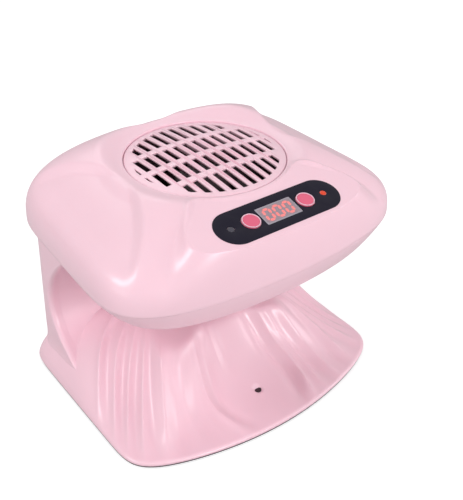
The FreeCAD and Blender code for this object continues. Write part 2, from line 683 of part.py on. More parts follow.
def make_base_shell():
    """The draped hand rest and the hollow column with its curved front."""
    half, wall, rear = MM.column_width / 2, MM.base_wall, MM.column_rear
    top = MM.underside_height
    mound = prism(BASE, 0.0, MM.base_bottom, 60.0).cut(above_rest(0.0))
    column = rounded_bar(half, -40.0, rear, MM.column_corner, MM.base_bottom + 2.0, top + 10.0)
    column = column.cut(hand_bay(0.0))
    head = closed_body(head_low_rows(0.0, 0.0))
    body = mound.fuse(column).cut(head)
    bosses = [upright(MM.boss_radius, MM.plate_top, MM.rest_height, x, y) for x, y in BASE_SCREWS]
    under = prism(BASE, wall, -1.0, 60.0).cut(above_rest(wall)).fuse(prism(BASE, wall, -1.0, MM.plate_top))
    hollow = rounded_bar(half - wall, -40.0, rear - wall, MM.column_corner - wall, -1.0, top + 12.0)
    hollow = hollow.cut(hand_bay(wall))
    posts = [upright(MM.boss_radius, top - 12.0, top + 10.0, x, y) for x, y in COLUMN_SCREWS]
    for x, z in COVER_SCREWS:
        posts.append(Part.makeCylinder(MM.boss_radius, rear - wall - column_front(z), Vector(x, column_front(z), z),
                                       Vector(0, 1, 0)))
    board_y = MM.bay_rear + wall + MM.standoff_height
    for x, z in BOARD_POSTS:
        posts.append(Part.makeCylinder(MM.board_post_radius, board_y - column_front(z),
                                       Vector(x, column_front(z), z), Vector(0, 1, 0)))
    body = body.cut(under.fuse(hollow).cut(Part.Compound(bosses + posts)))
    tools = [rear_plate(0.0, rear - wall - 1.0, rear + 5.0)]
    screw = MM.screw_radius + MM.pilot_gap
    tools += [upright(screw, MM.plate_top - 1, MM.plate_top + 9.0, x, y) for x, y in BASE_SCREWS]
    tools += [upright(screw, top - 10.0, top + 1, x, y) for x, y in COLUMN_SCREWS]
    for x, z in COVER_SCREWS:
        tools.append(Part.makeCylinder(screw, 12.0, Vector(x, rear - wall - 10.0, z), Vector(0, 1, 0)))
    for x, z in BOARD_POSTS:
        tools.append(Part.makeCylinder(screw, 5.0, Vector(x, board_y - 4.3, z), Vector(0, 1, 0)))
    tools.append(upright(MM.sensor_radius + MM.fit_gap, 0, 40, 0, MM.sensor_y))
    return body.cut(Part.Compound(tools))


def rear_plate(inset, low_y, high_y):
    """A flat upright plate with round corners, the shape of the rear cover."""
    length, height = MM.cover_length - 2 * inset, MM.cover_height - 2 * inset
    plate = Part.makeBox(length, high_y - low_y, height, Vector(-length / 2, low_y, MM.cover_z - height / 2))
    edges = [edge for edge in plate.Edges
             if abs(abs(edge.Vertexes[0].Y - edge.Vertexes[1].Y) - (high_y - low_y)) < 0.01]
    return plate.makeFillet(MM.cover_corner - inset, edges)


def make_rear_cover():
    """The flat cover in the back of the column, with the opening for the mains socket."""
    rear, wall = MM.column_rear, MM.base_wall
    plate = rear_plate(MM.fit_gap, rear - wall, rear)
    tools = [Part.makeBox(MM.socket_length, 20, MM.socket_height,
                          Vector(MM.inlet_socket_x - MM.socket_length / 2, rear - 10,
                                 MM.inlet_socket_z - MM.socket_height / 2))]
    for x, z in COVER_SCREWS:
        tools.append(Part.makeCylinder(MM.screw_radius + MM.fit_gap, 20, Vector(x, rear - 10, z), Vector(0, 1, 0)))
        tools.append(Part.makeCylinder(MM.screw_head_radius + MM.fit_gap, 20,
                                       Vector(x, rear - MM.screw_head_height, z), Vector(0, 1, 0)))
    return plate.cut(Part.Compound(tools))


def make_bottom_plate():
    """The dark plate under the base, stepped so that it seats inside the shell's lip."""
    plate = prism(BASE, MM.plate_inset, MM.plate_bottom, MM.base_bottom)
    plate = plate.fuse(prism(BASE, MM.base_wall + MM.fit_gap, MM.base_bottom, MM.plate_top))
    tools = []
    for x, y in corners(MM.foot_x, MM.foot_front_y, MM.foot_rear_y):
        tools.append(upright(MM.foot_radius + 0.1, 0, MM.plate_bottom + MM.foot_recess, x, y))
    for x, y in BASE_SCREWS:
        tools.append(upright(MM.screw_radius + MM.fit_gap, 0, 10, x, y))
        tools.append(upright(MM.screw_head_radius + MM.fit_gap, 0, MM.plate_bottom + MM.base_head_sink, x, y))
    return plate.cut(Part.Compound(tools))


# --------------------------------------------------------------------------- grilles
def ring_sketch(body, name, radii):
    """A sketch of circles round the body's own origin, tied to the sheet."""
    sketch = body.newObject("Sketcher::SketchObject", name)
    plane = [item for item in body.Origin.OriginFeatures if item.Role == "XY_Plane"][0]
    sketch.AttachmentSupport = [(plane, "")]
    sketch.MapMode = "FlatFace"
    for number, radius in enumerate(radii):
        sketch.addGeometry(Part.Circle(Vector(0, 0, 0), Vector(0, 0, 1), 10.0 + 5 * number))
        sketch.addConstraint(Sketcher.Constraint("Coincident", number, 3, -1, 1))
        constraint = sketch.addConstraint(Sketcher.Constraint("Radius", number, 10.0 + 5 * number))
        sketch.setExpression(f"Constraints[{constraint}]", link(radius))
    return sketch


def slot_sketch(body, name, left, right, low, high):
    """A sketch of one upright rectangle between four places."""
    sketch = body.newObject("Sketcher::SketchObject", name)
    plane = [item for item in body.Origin.OriginFeatures if item.Role == "XY_Plane"][0]
    sketch.AttachmentSupport = [(plane, "")]
    sketch.MapMode = "FlatFace"
    points = [Vector(-4, -4, 0), Vector(-1, -4, 0), Vector(-1, -1, 0), Vector(-4, -1, 0)]
    for start, end in zip(points, points[1:] + points[:1]):
        sketch.addGeometry(Part.LineSegment(start, end))
    for number in range(4):
        sketch.addConstraint(Sketcher.Constraint("Coincident", number, 2, (number + 1) % 4, 1))
        kind = "Horizontal" if number % 2 == 0 else "Vertical"
        sketch.addConstraint(Sketcher.Constraint(kind, number))
    for kind, geometry, where, text in (("DistanceX", 0, 1, left), ("DistanceX", 0, 2, right),
                                        ("DistanceY", 0, 1, low), ("DistanceY", 2, 2, high)):
        constraint = sketch.addConstraint(Sketcher.Constraint(kind, -1, 1, geometry, where, -2.0))
        sketch.setExpression(f"Constraints[{constraint}]", link(text))
    return sketch


def slotted_disc(node, radius, field, thickness, slot, columns, rows):
    """A round grille: a disc, one slot repeated over it, and a border ring that closes the field.

    Columns and rows are each a count and a pitch, and rows may be left out.
    """
    body = DOC.addObject("PartDesign::Body", node + "_body")
    disc = body.newObject("PartDesign::Pad", node + "_disc")
    disc.Profile = ring_sketch(body, node + "_disc_sketch", [radius])
    bind(disc, Length=thickness)
    DOC.recompute()
    pocket = body.newObject("PartDesign::Pocket", node + "_slot")
    pocket.Profile = slot_sketch(body, node + "_slot_sketch", *slot)
    pocket.Type = "ThroughAll"
    pocket.Midplane = True
    DOC.recompute()
    grid = body.newObject("PartDesign::MultiTransform", node + "_slots")
    grid.Originals = [pocket]
    steps = []
    for axis, (count, pitch) in [("X_Axis", columns)] + [("Y_Axis", row) for row in rows]:
        pattern = body.newObject("PartDesign::LinearPattern", f"{node}_{axis}")
        pattern.Direction = ([item for item in body.Origin.OriginFeatures if item.Role == axis][0], [""])
        bind(pattern, Length=f"({pitch}) * (({count}) - 1)", Occurrences=count)
        steps.append(pattern)
    grid.Transformations = steps
    body.Tip = grid
    DOC.recompute()
    border = body.newObject("PartDesign::Pad", node + "_border")
    border.Profile = ring_sketch(body, node + "_border_sketch", [field, radius])
    bind(border, Length=thickness)
    body.Tip = border
    DOC.recompute()
    return body


def make_inlet_grille():
    """The slotted disc in the top of the head: long slots, three crossbars and a domed face."""
    left, height = "-(slot_pitch_x * (slot_columns - 1) + slot_width) / 2", "grille_top - grille_seat"
    slot = (left, left + " + slot_width", "-slot_field_radius - 1", "slot_field_radius + 1")
    body = slotted_disc("inlet_grille", "well_radius - fit_gap", "slot_field_radius", height,
                        slot, ("slot_columns", "slot_pitch_x"), [])
    place(body, "0", "inlet_y", "grille_seat")
    bars = [block(f"inlet_grille_bar_{row + 1}", reach, "slot_bar", height, "0", f"inlet_y + slot_pitch_y * {row}",
                  "grille_seat")
            for row, reach in ((-1, "2 * slot_field_radius - 6"), (0, "2 * slot_field_radius + 2"),
                               (1, "2 * slot_field_radius - 6"))]
    body = fuse("inlet_grille_barred", [body] + bars)
    over = ball("inlet_grille_dome", "grille_dome", "grille_top")
    domed = DOC.addObject("Part::Common", "inlet_grille_domed")
    domed.Base, domed.Tool = body, over
    room = ball("inlet_grille_room", "grille_dome - grille_thickness", "grille_top - grille_thickness")
    inner = rod("inlet_grille_rim", "well_radius - fit_gap - grille_rim", "grille_top - grille_seat",
                y="inlet_y", z="grille_seat")
    hollow = DOC.addObject("Part::Common", "inlet_grille_hollow")
    hollow.Base, hollow.Tool = room, inner
    return cut("inlet_grille_shape", domed, [hollow])


def ball(name, radius, top):
    """A large ball over the inlet whose highest point is at top."""
    item = DOC.addObject("Part::Sphere", name)
    bind(item, Radius=radius)
    return place(item, "0", "inlet_y", f"{top} - ({radius})")


def make_outlet_grille():
    """The louvred disc in the underside, with a flange that lies on the floor."""
    thickness = "floor_thickness + outlet_flange_height"
    left = "-(outlet_slot_pitch * 9 + outlet_slot_width) / 2"
    slot = (left, left + " + outlet_slot_width", "-outlet_radius + 1", "-2")
    body = slotted_disc("outlet_grille", "outlet_radius", "outlet_radius - 3", thickness,
                        slot, ("10", "outlet_slot_pitch"), [("2", "outlet_radius + 1")])
    place(body, "0", "inlet_y", "underside_height")
    flange = rod("outlet_flange", "outlet_flange", "outlet_flange_height", "0", "inlet_y",
                 "underside_height + floor_thickness")
    hole = rod("outlet_flange_hole", "outlet_radius - 3", "outlet_flange_height + 2", "0", "inlet_y",
               "underside_height + floor_thickness - 1")
    return fuse("outlet_grille_shape", [body, cut("outlet_ring", flange, [hole])])


# --------------------------------------------------------------------------- control panel
def make_controls():
    """The panel, the window, the display, the buttons, the indicators and the board."""
    panel_face = oval(MM.panel_length, MM.panel_width, -MM.panel_thickness + MM.panel_proud, MM.panel_proud)
    panel = panel_face.cut(Part.Compound(control_holes(MM.fit_gap, -5, 5)))
    keep("control_panel", on_panel(shaped("control_panel_shape", panel)))

    pane = block("window_pane", "window_length", "window_width", "window_thickness",
                 z="panel_proud - window_thickness")
    keep("display_window", on_panel(fuse("display_window_shape", [pane, block(
        "window_pane_middle", "window_length - 1", "window_width - 1", "window_thickness",
        z="panel_proud - window_thickness")])))
    module_top = "panel_proud - window_thickness - segment_thickness"
    case = block("display_case", "window_length - 0.4", "window_width - 0.4",
                 f"board_depth + ({module_top})", z="-board_depth")
    foot = block("display_foot", "window_length - 2", "window_width - 2", "1", z="-board_depth")
    keep("display_module", on_panel(fuse("display_module_shape", [case, foot])))
    keep("display_digits", on_panel(group("display_digits_shape", digit_bars(module_top))))

    for node, side in (("time_button", "-"), ("mode_button", "")):
        x = side + "button_x"
        seat = "-panel_bed - fit_gap"
        cap = rod(node + "_cap", "button_radius", "button_proud + panel_bed + fit_gap", x, "0", seat)
        flange = rod(node + "_flange", "button_flange", "button_flange_height", x, "0",
                     seat + " - button_flange_height")
        keep(node, on_panel(fuse(node + "_shape", [cap, flange])))
    for node, side in (("indicator_led_left", "-"), ("indicator_led_right", "")):
        lens = rod(node + "_lens", "led_radius", "board_depth + panel_proud", side + "led_x", "0", "-board_depth")
        rim = rod(node + "_rim", "led_radius + 0.5", "1", side + "led_x", "0", "-board_depth")
        keep(node, on_panel(fuse(node + "_shape", [lens, rim])))

    board = block("control_board_plate", "control_board_length", "control_board_width", "board_thickness",
                  z="-board_depth - board_thickness")
    holes = [rod(f"control_board_hole_{n}", "screw_radius + fit_gap", "board_thickness + 2", x, "0",
                 "-board_depth - board_thickness - 1") for n, x in enumerate(("-board_post_x", "board_post_x"))]
    keep("control_board", on_panel(cut("control_board_shape", board, holes)))
    top = "panel_bed + fit_gap + button_flange_height + button_travel + 0.1"
    switches = [block(f"tact_switch_{n}", "6", "6", f"board_depth - ({top})", x, "0", "-board_depth")
                for n, x in enumerate(("-button_x", "button_x"))]
    keep("tact_switches", on_panel(group("tact_switches_shape", switches)))
    screws = []
    for number, x in enumerate(("-board_post_x", "board_post_x")):
        low = "-board_depth - board_thickness"
        shaft = rod(f"board_screw_shaft_{number}", "screw_radius", "board_thickness + 3.5", x, "0", low)
        head = rod(f"board_screw_head_{number}", "screw_head_radius", "screw_head_height", x, "0",
                   low + " - screw_head_height")
        screws.append(fuse(f"board_screw_{number}", [shaft, head]))
    keep("board_screws", on_panel(group("board_screws_shape", screws)))


def digit_bars(base):
    """Three numerals, each a zero made of six bars."""
    bars = []
    for digit in (-1, 0, 1):
        middle = f"digit_pitch * {digit}"
        for level in (-1, 1):
            bars.append(block(f"bar_{digit + 1}_{level + 1}", "digit_width - 2.4 * segment_width / 2", "segment_width",
                              "segment_thickness", middle, f"(digit_height - segment_width) / 2 * {level}", base))
            for side in (-1, 1):
                bars.append(block(f"bar_{digit + 1}_{level + 1}_{side + 1}", "segment_width",
                                  "digit_height / 2 - 1.2 * segment_width", "segment_thickness",
                                  f"{middle} + (digit_width - segment_width) / 2 * {side}",
                                  f"digit_height / 4 * {level}", base))
    return bars


# --------------------------------------------------------------------------- fan and heater
FAN_CORNERS = [(f"{a}fan_hole_offset", f"inlet_y {b} fan_hole_offset") for a in ("-", "") for b in ("-", "+")]


def make_fan():
    """The frame, the motor, the bearings, the shaft and the bladed rotor."""
    plate_top = "fan_base + fan_plate"
    frame = block("fan_case", "fan_size", "fan_size", "fan_height", y="inlet_y", z="fan_base")
    bore = rod("fan_passage", "fan_bore", "fan_height + 2", y="inlet_y", z="fan_base - 1")
    holes = [rod(f"fan_fixing_{n}", "fan_hole_radius", "fan_height + 2", x, y, "fan_base - 1")
             for n, (x, y) in enumerate(FAN_CORNERS)]
    ring = cut("fan_case_open", frame, [bore] + holes)
    arms = [block("fan_arm_x", "fan_bore * 2 + 0.6", "fan_arm_width", "fan_plate", y="inlet_y", z="fan_base"),
            block("fan_arm_y", "fan_arm_width", "fan_bore * 2 + 0.6", "fan_plate", y="inlet_y", z="fan_base")]
    plate = rod("fan_motor_plate", "hub_radius", "fan_plate", y="inlet_y", z="fan_base")
    tube = rod("fan_tube", "tube_radius", "stator_height + 1", y="inlet_y", z=plate_top)
    bore_hole = rod("fan_tube_bore", "bearing_radius", "stator_height + 2", y="inlet_y", z=plate_top)
    solid = fuse("fan_frame_solid", [ring] + arms + [plate, tube])
    keep("fan_frame", cut("fan_frame_shape", solid, [bore_hole]))

    stator = rod("fan_windings", "stator_radius", "stator_height", y="inlet_y", z=plate_top)
    core = rod("fan_windings_bore", "tube_radius", "stator_height + 2", y="inlet_y", z=plate_top + " - 1")
    keep("fan_motor", cut("fan_motor_shape", stator, [core]))

    rings = []
    for number, z in enumerate((plate_top, plate_top + " + stator_height + 1 - bearing_height")):
        outer = rod(f"bearing_outer_{number}", "bearing_radius", "bearing_height", y="inlet_y", z=z)
        inner = rod(f"bearing_inner_{number}", "shaft_radius + shaft_running_gap", "bearing_height + 2",
                    y="inlet_y", z=z + " - 1")
        rings.append(cut(f"bearing_{number}", outer, [inner]))
    keep("fan_bearings", group("fan_bearings_shape", rings))

    hub_base = plate_top + " + 0.6"
    hub_top = f"{hub_base} + hub_height"
    shaft = rod("fan_shaft_rod", "shaft_radius", "hub_height - hub_wall + 0.1 + 1", y="inlet_y",
                z=plate_top + " + 0.5")
    keep("fan_shaft", fuse("fan_shaft_shape", [shaft, rod(
        "fan_shaft_collar", "shaft_radius + 1", "0.8", y="inlet_y",
        z=plate_top + " + stator_height + 1 + 0.3")]))
    cup = rod("rotor_cup", "hub_radius", "hub_height", y="inlet_y", z=hub_base)
    room = rod("rotor_room", "hub_radius - hub_wall", "hub_height - hub_wall", y="inlet_y", z=hub_base)
    bore = rod("rotor_bore", "shaft_radius", "hub_height", y="inlet_y", z=hub_base)
    hollow = cut("rotor_hub", cup, [room])
    blades = [shaped(f"rotor_blade_{n}", rotor_blade(n)) for n in range(int(MM.blade_count))]
    keep("fan_rotor", cut("fan_rotor_shape", fuse("rotor_solid", [hollow] + blades), [bore]))
    return hub_top


def rotor_blade(number):
    """One flat blade set at its pitch between the hub and the tip circle."""
    middle = MM.fan_base + MM.fan_plate + 0.6 + MM.hub_height / 2
    length = MM.blade_tip - MM.hub_radius + 4.0
    blade = Part.makeBox(length, MM.blade_chord, MM.blade_thickness,
                         Vector(MM.hub_radius - 2.0, -MM.blade_chord / 2, -MM.blade_thickness / 2))
    blade.rotate(Vector(0, 0, 0), Vector(1, 0, 0), MM.blade_pitch)
    blade.rotate(Vector(0, 0, 0), Vector(0, 0, 1), 360.0 * number / MM.blade_count)
    blade.translate(Vector(0, MM.inlet_y, middle))
    reach = upright(MM.blade_tip, MM.fan_base, MM.fan_base + 30.0, 0, MM.inlet_y)
    return blade.common(reach.cut(upright(MM.hub_radius - 0.8, MM.fan_base - 1, MM.fan_base + 31.0, 0, MM.inlet_y)))


def make_heater():
    """The square duct, the insulating cross, the wire rings and the thermal cut-out."""
    floor_top = "underside_height + floor_thickness"
    height = f"fan_base - ({floor_top})"
    outer = block("duct_outer", "duct_size", "duct_size", height, y="inlet_y", z=floor_top)
    inner = block("duct_inner", "duct_size - 2 * duct_wall", "duct_size - 2 * duct_wall", f"{height} + 2",
                  y="inlet_y", z=floor_top + " - 1")
    posts = [rod(f"duct_post_{n}", "post_radius", height, x, y, floor_top) for n, (x, y) in enumerate(FAN_CORNERS)]
    pilots = [rod(f"duct_pilot_{n}", "screw_radius + pilot_gap", "12", x, y, "fan_base - 11")
              for n, (x, y) in enumerate(FAN_CORNERS)]
    flange_room = rod("duct_flange_room", "outlet_flange + fit_gap", "outlet_flange_height + 1.3", y="inlet_y",
                      z=floor_top + " - 1")
    body = fuse("duct_solid", [cut("duct_tube", outer, [inner])] + posts)
    keep("heater_duct", cut("heater_duct_shape", body, pilots + [flange_room]))

    cross_base = floor_top + " + outlet_flange_height + 0.2"
    wings = [block("mica_x", "duct_size - 2 * duct_wall", "mica_thickness", "mica_height", y="inlet_y", z=cross_base),
             block("mica_y", "mica_thickness", "duct_size - 2 * duct_wall", "mica_height", y="inlet_y", z=cross_base)]
    coil_z = f"{cross_base} + mica_height / 2"
    notches, rings = [], []
    for number in range(int(MM.coil_count)):
        radius = f"coil_step * {number + 1} + 4"
        for name, minor, target in (("notch", "coil_radius + 0.1", notches), ("coil", "coil_radius", rings)):
            item = DOC.addObject("Part::Torus", f"heater_{name}_{number}")
            bind(item, Radius1=radius, Radius2=minor)
            target.append(place(item, "0", "inlet_y", coil_z))
    keep("heater_frame", cut("heater_frame_shape", fuse("mica_cross", wings), notches))
    keep("heater_coils", group("heater_coils_shape", rings))
    cutout = block("cutout_case", "10", "4", "5", "18", "inlet_y + duct_size / 2 - duct_wall - 2", cross_base + " + 3")
    tab = block("cutout_tab", "4", "4", "8", "18", "inlet_y + duct_size / 2 - duct_wall - 2", cross_base + " + 2")
    keep("thermal_cutout", fuse("thermal_cutout_shape", [cutout, tab]))


# --------------------------------------------------------------------------- base fittings
def make_base_fittings():
    """The feet, the hand sensor, the mains socket, the power board and the wiring."""
    feet = [rod(f"foot_{n}", "foot_radius", "plate_bottom + foot_recess", x, y, "0")
            for n, (x, y) in enumerate([(a + "foot_x", b) for b in ("foot_front_y", "foot_rear_y") for a in ("-", "")])]
    keep("rubber_feet", group("rubber_feet_shape", feet))

    sensor_plate = block("sensor_plate", "14", "8", "1", "0", "sensor_y", "plate_top")
    notch = rod("sensor_plate_mark", "0.6", "2", "5", "sensor_y + 2", "plate_top - 0.5")
    keep("sensor_board", cut("sensor_board_shape", sensor_plate, [notch]))
    seat = MM.plate_top + 1.0
    lens = upright(MM.sensor_radius, seat, rest_height_at(0.0, MM.sensor_y) - 0.6, 0, MM.sensor_y)
    lens = lens.cut(upright(MM.sensor_radius - 0.6, seat, seat + 1.4, 0, MM.sensor_y))
    keep("sensor_window", shaped("sensor_window_shape", lens))
    eye = rod("sensor_eye", "1.2", "1.1", "0", "sensor_y", "plate_top + 1")
    lead = rod("sensor_case", "1.5", "0.4", "0", "sensor_y", "plate_top + 1")
    keep("hand_sensor", fuse("hand_sensor_shape", [eye, lead]))

    rear_y = "column_rear - socket_depth / 2"
    case = block("socket_case", "socket_length - 2 * 0.1", "socket_depth", "socket_height - 2 * 0.1",
                 "inlet_socket_x", rear_y, "inlet_socket_z - socket_height / 2 + 0.1")
    mouth_y = "column_rear - socket_mouth_depth / 2 + 1"
    mouth = block("socket_mouth", "socket_mouth_length - socket_mouth_height", "socket_mouth_depth + 2",
                  "socket_mouth_height", "inlet_socket_x", mouth_y, "inlet_socket_z - socket_mouth_height / 2")
    ends = [rod_along_y(f"socket_mouth_end_{n}", "socket_mouth_height / 2", "socket_mouth_depth + 2",
                        f"inlet_socket_x {sign} (socket_mouth_length - socket_mouth_height) / 2",
                        "column_rear - socket_mouth_depth", "inlet_socket_z") for n, sign in enumerate("-+")]
    rim = block("socket_rim", "socket_length + 4", "1.6", "socket_height + 4", "inlet_socket_x",
                "column_rear - base_wall - 0.8", "inlet_socket_z - socket_height / 2 - 2")
    keep("power_inlet", cut("power_inlet_shape", fuse("socket_solid", [case, rim]), [mouth] + ends))
    pins = [rod_along_y(f"pin_{n}", "pin_radius", "socket_mouth_depth - 2",
                        f"inlet_socket_x {sign} pin_pitch / 2", "column_rear - socket_mouth_depth",
                        "inlet_socket_z") for n, sign in enumerate("-+")]
    keep("inlet_pins", group("inlet_pins_shape", pins))

    board_y = "bay_rear + base_wall + standoff_height"
    board = block("power_plate", "power_board_length", "board_thickness", "power_board_height", "0",
                  board_y + " + board_thickness / 2", "power_board_z - power_board_height / 2")
    holes = [rod_along_y(f"power_plate_hole_{n}", "screw_radius + fit_gap", "4", str(x), board_y + " - 1", str(z))
             for n, (x, z) in enumerate(BOARD_POSTS)]
    keep("power_board", cut("power_board_shape", board, holes))
    front = board_y + " + board_thickness"
    relay = block("relay", "19", "13", "15", "-14", front + " + 13 / 2", "power_board_z - 8")
    choke = block("transformer", "22", "12", "20", "14", front + " + 12 / 2", "power_board_z - 11")
    store = rod_along_y("capacitor", "4", "13", "29.5", front, "power_board_z + 2")
    fuse_box = block("fuse_holder", "6", "6", "16", "-30", front + " + 3", "power_board_z - 9")
    keep("power_board_parts", group("power_board_parts_shape", [relay, choke, store, fuse_box]))


def screw_up(name, length, x, y, seat):
    """A screw whose head is below its seat and whose thread points up."""
    thread = upright(MM.screw_radius, seat, seat + length, x, y)
    return shaped(name, thread.fuse(upright(MM.screw_head_radius, seat - MM.screw_head_height, seat, x, y)))


def screw_down(name, length, x, y, seat):
    """A screw whose head is on top of its seat and whose thread points down."""
    thread = upright(MM.screw_radius, seat - length, seat, x, y)
    return shaped(name, thread.fuse(upright(MM.screw_head_radius, seat, seat + MM.screw_head_height, x, y)))


def screw_forward(name, length, x, z, seat):
    """A screw that goes in from the rear."""
    thread = Part.makeCylinder(MM.screw_radius, length, Vector(x, seat - length, z), Vector(0, 1, 0))
    head = Part.makeCylinder(MM.screw_head_radius, MM.screw_head_height, Vector(x, seat, z), Vector(0, 1, 0))
    return shaped(name, thread.fuse(head))


def make_screws():
    """The screw groups."""
    floor_top = MM.underside_height + MM.floor_thickness
    base_seat = MM.plate_bottom + MM.base_head_sink
    keep("base_screws", group("base_screws_shape", [
        screw_up(f"base_screw_{n}", 8.0, x, y, base_seat) for n, (x, y) in enumerate(BASE_SCREWS)]))
    head_seat = MM.underside_height + MM.screw_head_height + MM.fit_gap
    keep("head_screws", group("head_screws_shape", [
        screw_up(f"head_screw_{n}", MM.seam_height + 6 - head_seat, x, y, head_seat)
        for n, (x, y) in enumerate(HEAD_SCREWS)]))
    keep("column_screws", group("column_screws_shape", [
        screw_down(f"column_screw_{n}", 11.0, x, y, floor_top) for n, (x, y) in enumerate(COLUMN_SCREWS)]))
    cover_seat = MM.column_rear - MM.screw_head_height
    keep("rear_cover_screws", group("rear_cover_screws_shape", [
        screw_forward(f"cover_screw_{n}", 8.0, x, z, cover_seat) for n, (x, z) in enumerate(COVER_SCREWS)]))
    board_face = MM.bay_rear + MM.base_wall + MM.standoff_height + MM.board_thickness
    keep("power_board_screws", group("power_board_screws_shape", [
        screw_forward(f"power_screw_{n}", 5.0, x, z, board_face) for n, (x, z) in enumerate(BOARD_POSTS)]))
    offset, top = MM.fan_hole_offset, MM.fan_base + MM.fan_height
    keep("fan_screws", group("fan_screws_shape", [
        screw_down(f"fan_screw_{n}", MM.fan_height + 8.0, a * offset, MM.inlet_y + b * offset, top)
        for n, (a, b) in enumerate([(-1, -1), (1, -1), (-1, 1), (1, 1)])]))


def make_loom():
    """The bundle of wires from the transformer up through the head's floor to the duct."""
    x, y = LOOM_PLACE
    low, high = MM.power_board_z + 9.0, MM.underside_height + 13.0
    bend, front_y = MM.loom_bend, MM.inlet_y + MM.duct_size / 2
    start, corner = Vector(x, y, low), Vector(x, y, high)
    turn_in, turn_out = corner - Vector(0, 0, bend), corner - Vector(0, bend, 0)
    middle = corner + Vector(0, -bend, -bend) + Vector(0, bend, bend) * math.sqrt(0.5)
    path = Part.Wire([Part.LineSegment(start, turn_in).toShape(), Part.Arc(turn_in, middle, turn_out).toShape(),
                      Part.LineSegment(turn_out, Vector(x, front_y, high)).toShape()])
    section = Part.Wire([Part.Circle(start, Vector(0, 0, 1), MM.loom_radius).toShape()])
    return path.makePipeShell([section], True, False)


# --------------------------------------------------------------------------- build and write
keep("head_top_shell", shaped("head_top_shell_shape", make_head_top()))
keep("head_lower_shell", shaped("head_lower_shell_shape", make_head_low()))
keep("base_shell", shaped("base_shell_shape", make_base_shell()))
keep("rear_cover", shaped("rear_cover_shape", make_rear_cover()))
keep("bottom_plate", shaped("bottom_plate_shape", make_bottom_plate()))
keep("inlet_grille", make_inlet_grille())
keep("outlet_grille", make_outlet_grille())
make_controls()
make_fan()
make_heater()
make_base_fittings()
make_screws()
keep("wiring_loom", shaped("wiring_loom_shape", make_loom()))

DOC.recompute()
for item in DOC.Objects:
    if "Invalid" in item.State or "Error" in item.State:
        raise RuntimeError(f"{item.Name} ({item.Label}) failed: {item.State}")
os.makedirs("parts", exist_ok=True)
for node, item in PARTS.items():
    shape = item.Shape
    if shape.isNull() or not shape.isValid():
        raise RuntimeError(f"{node} has no valid shape")
    shape.exportStep(f"parts/{node}.step")
    box = shape.BoundBox
    print(f"{node:22s} {len(shape.Solids)} solids {shape.Volume / 1000:8.2f} cm3  "
          f"x {box.XMin:7.1f} {box.XMax:7.1f}  y {box.YMin:7.1f} {box.YMax:7.1f}  z {box.ZMin:6.1f} {box.ZMax:6.1f}")
print(len(PARTS), "pieces")
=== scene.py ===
"""Dresses the nail polish fan dryer: casing, hand rest, controls, fan, fittings, light and camera.

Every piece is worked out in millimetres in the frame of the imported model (+Z up, -Y the front,
origin in the middle of the footprint) and is put into its mesh in metres.
"""

import json
import logging
import math
from dataclasses import dataclass, field
from enum import Enum
from typing import Sequence

import bmesh
import bpy
import numpy as np
from mathutils import Matrix, Vector
from numpy.typing import NDArray


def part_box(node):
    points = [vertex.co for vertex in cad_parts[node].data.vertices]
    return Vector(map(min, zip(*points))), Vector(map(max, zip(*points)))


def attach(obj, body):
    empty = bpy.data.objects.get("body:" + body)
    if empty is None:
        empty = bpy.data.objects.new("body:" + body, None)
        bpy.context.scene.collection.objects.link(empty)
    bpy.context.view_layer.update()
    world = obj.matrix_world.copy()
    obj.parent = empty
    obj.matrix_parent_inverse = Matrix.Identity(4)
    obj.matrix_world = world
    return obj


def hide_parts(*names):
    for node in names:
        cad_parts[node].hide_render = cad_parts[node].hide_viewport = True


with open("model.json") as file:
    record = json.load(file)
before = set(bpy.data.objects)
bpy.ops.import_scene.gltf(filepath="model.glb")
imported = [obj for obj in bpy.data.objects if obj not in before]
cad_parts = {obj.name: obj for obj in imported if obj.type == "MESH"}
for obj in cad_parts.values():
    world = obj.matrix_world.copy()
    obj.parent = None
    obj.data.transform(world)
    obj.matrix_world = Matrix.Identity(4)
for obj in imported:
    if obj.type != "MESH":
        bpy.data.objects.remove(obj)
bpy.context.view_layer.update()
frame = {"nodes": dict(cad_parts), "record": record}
LOG = logging.getLogger("nail_dryer")
METRE = 0.001
SAME_PLACE = 2e-6
NO_LENGTH = 1e-7
Array = NDArray[np.float64]
ACROSS, ALONG, UP = np.eye(3)


# ------------------------------------------------------------------------------ shared maths
def smooth(value: Array, low: float, high: float) -> Array:
    """Rises from 0 at low to 1 at high with no corner.

    Args:
        value: the numbers to map.
        low: where the rise starts.
        high: where the rise ends.

    Returns:
        The smooth share, 3 t squared minus 2 t cubed.
    """
    share = np.clip((value - low) / (high - low), 0.0, 1.0)
    return share * share * (3.0 - 2.0 * share)


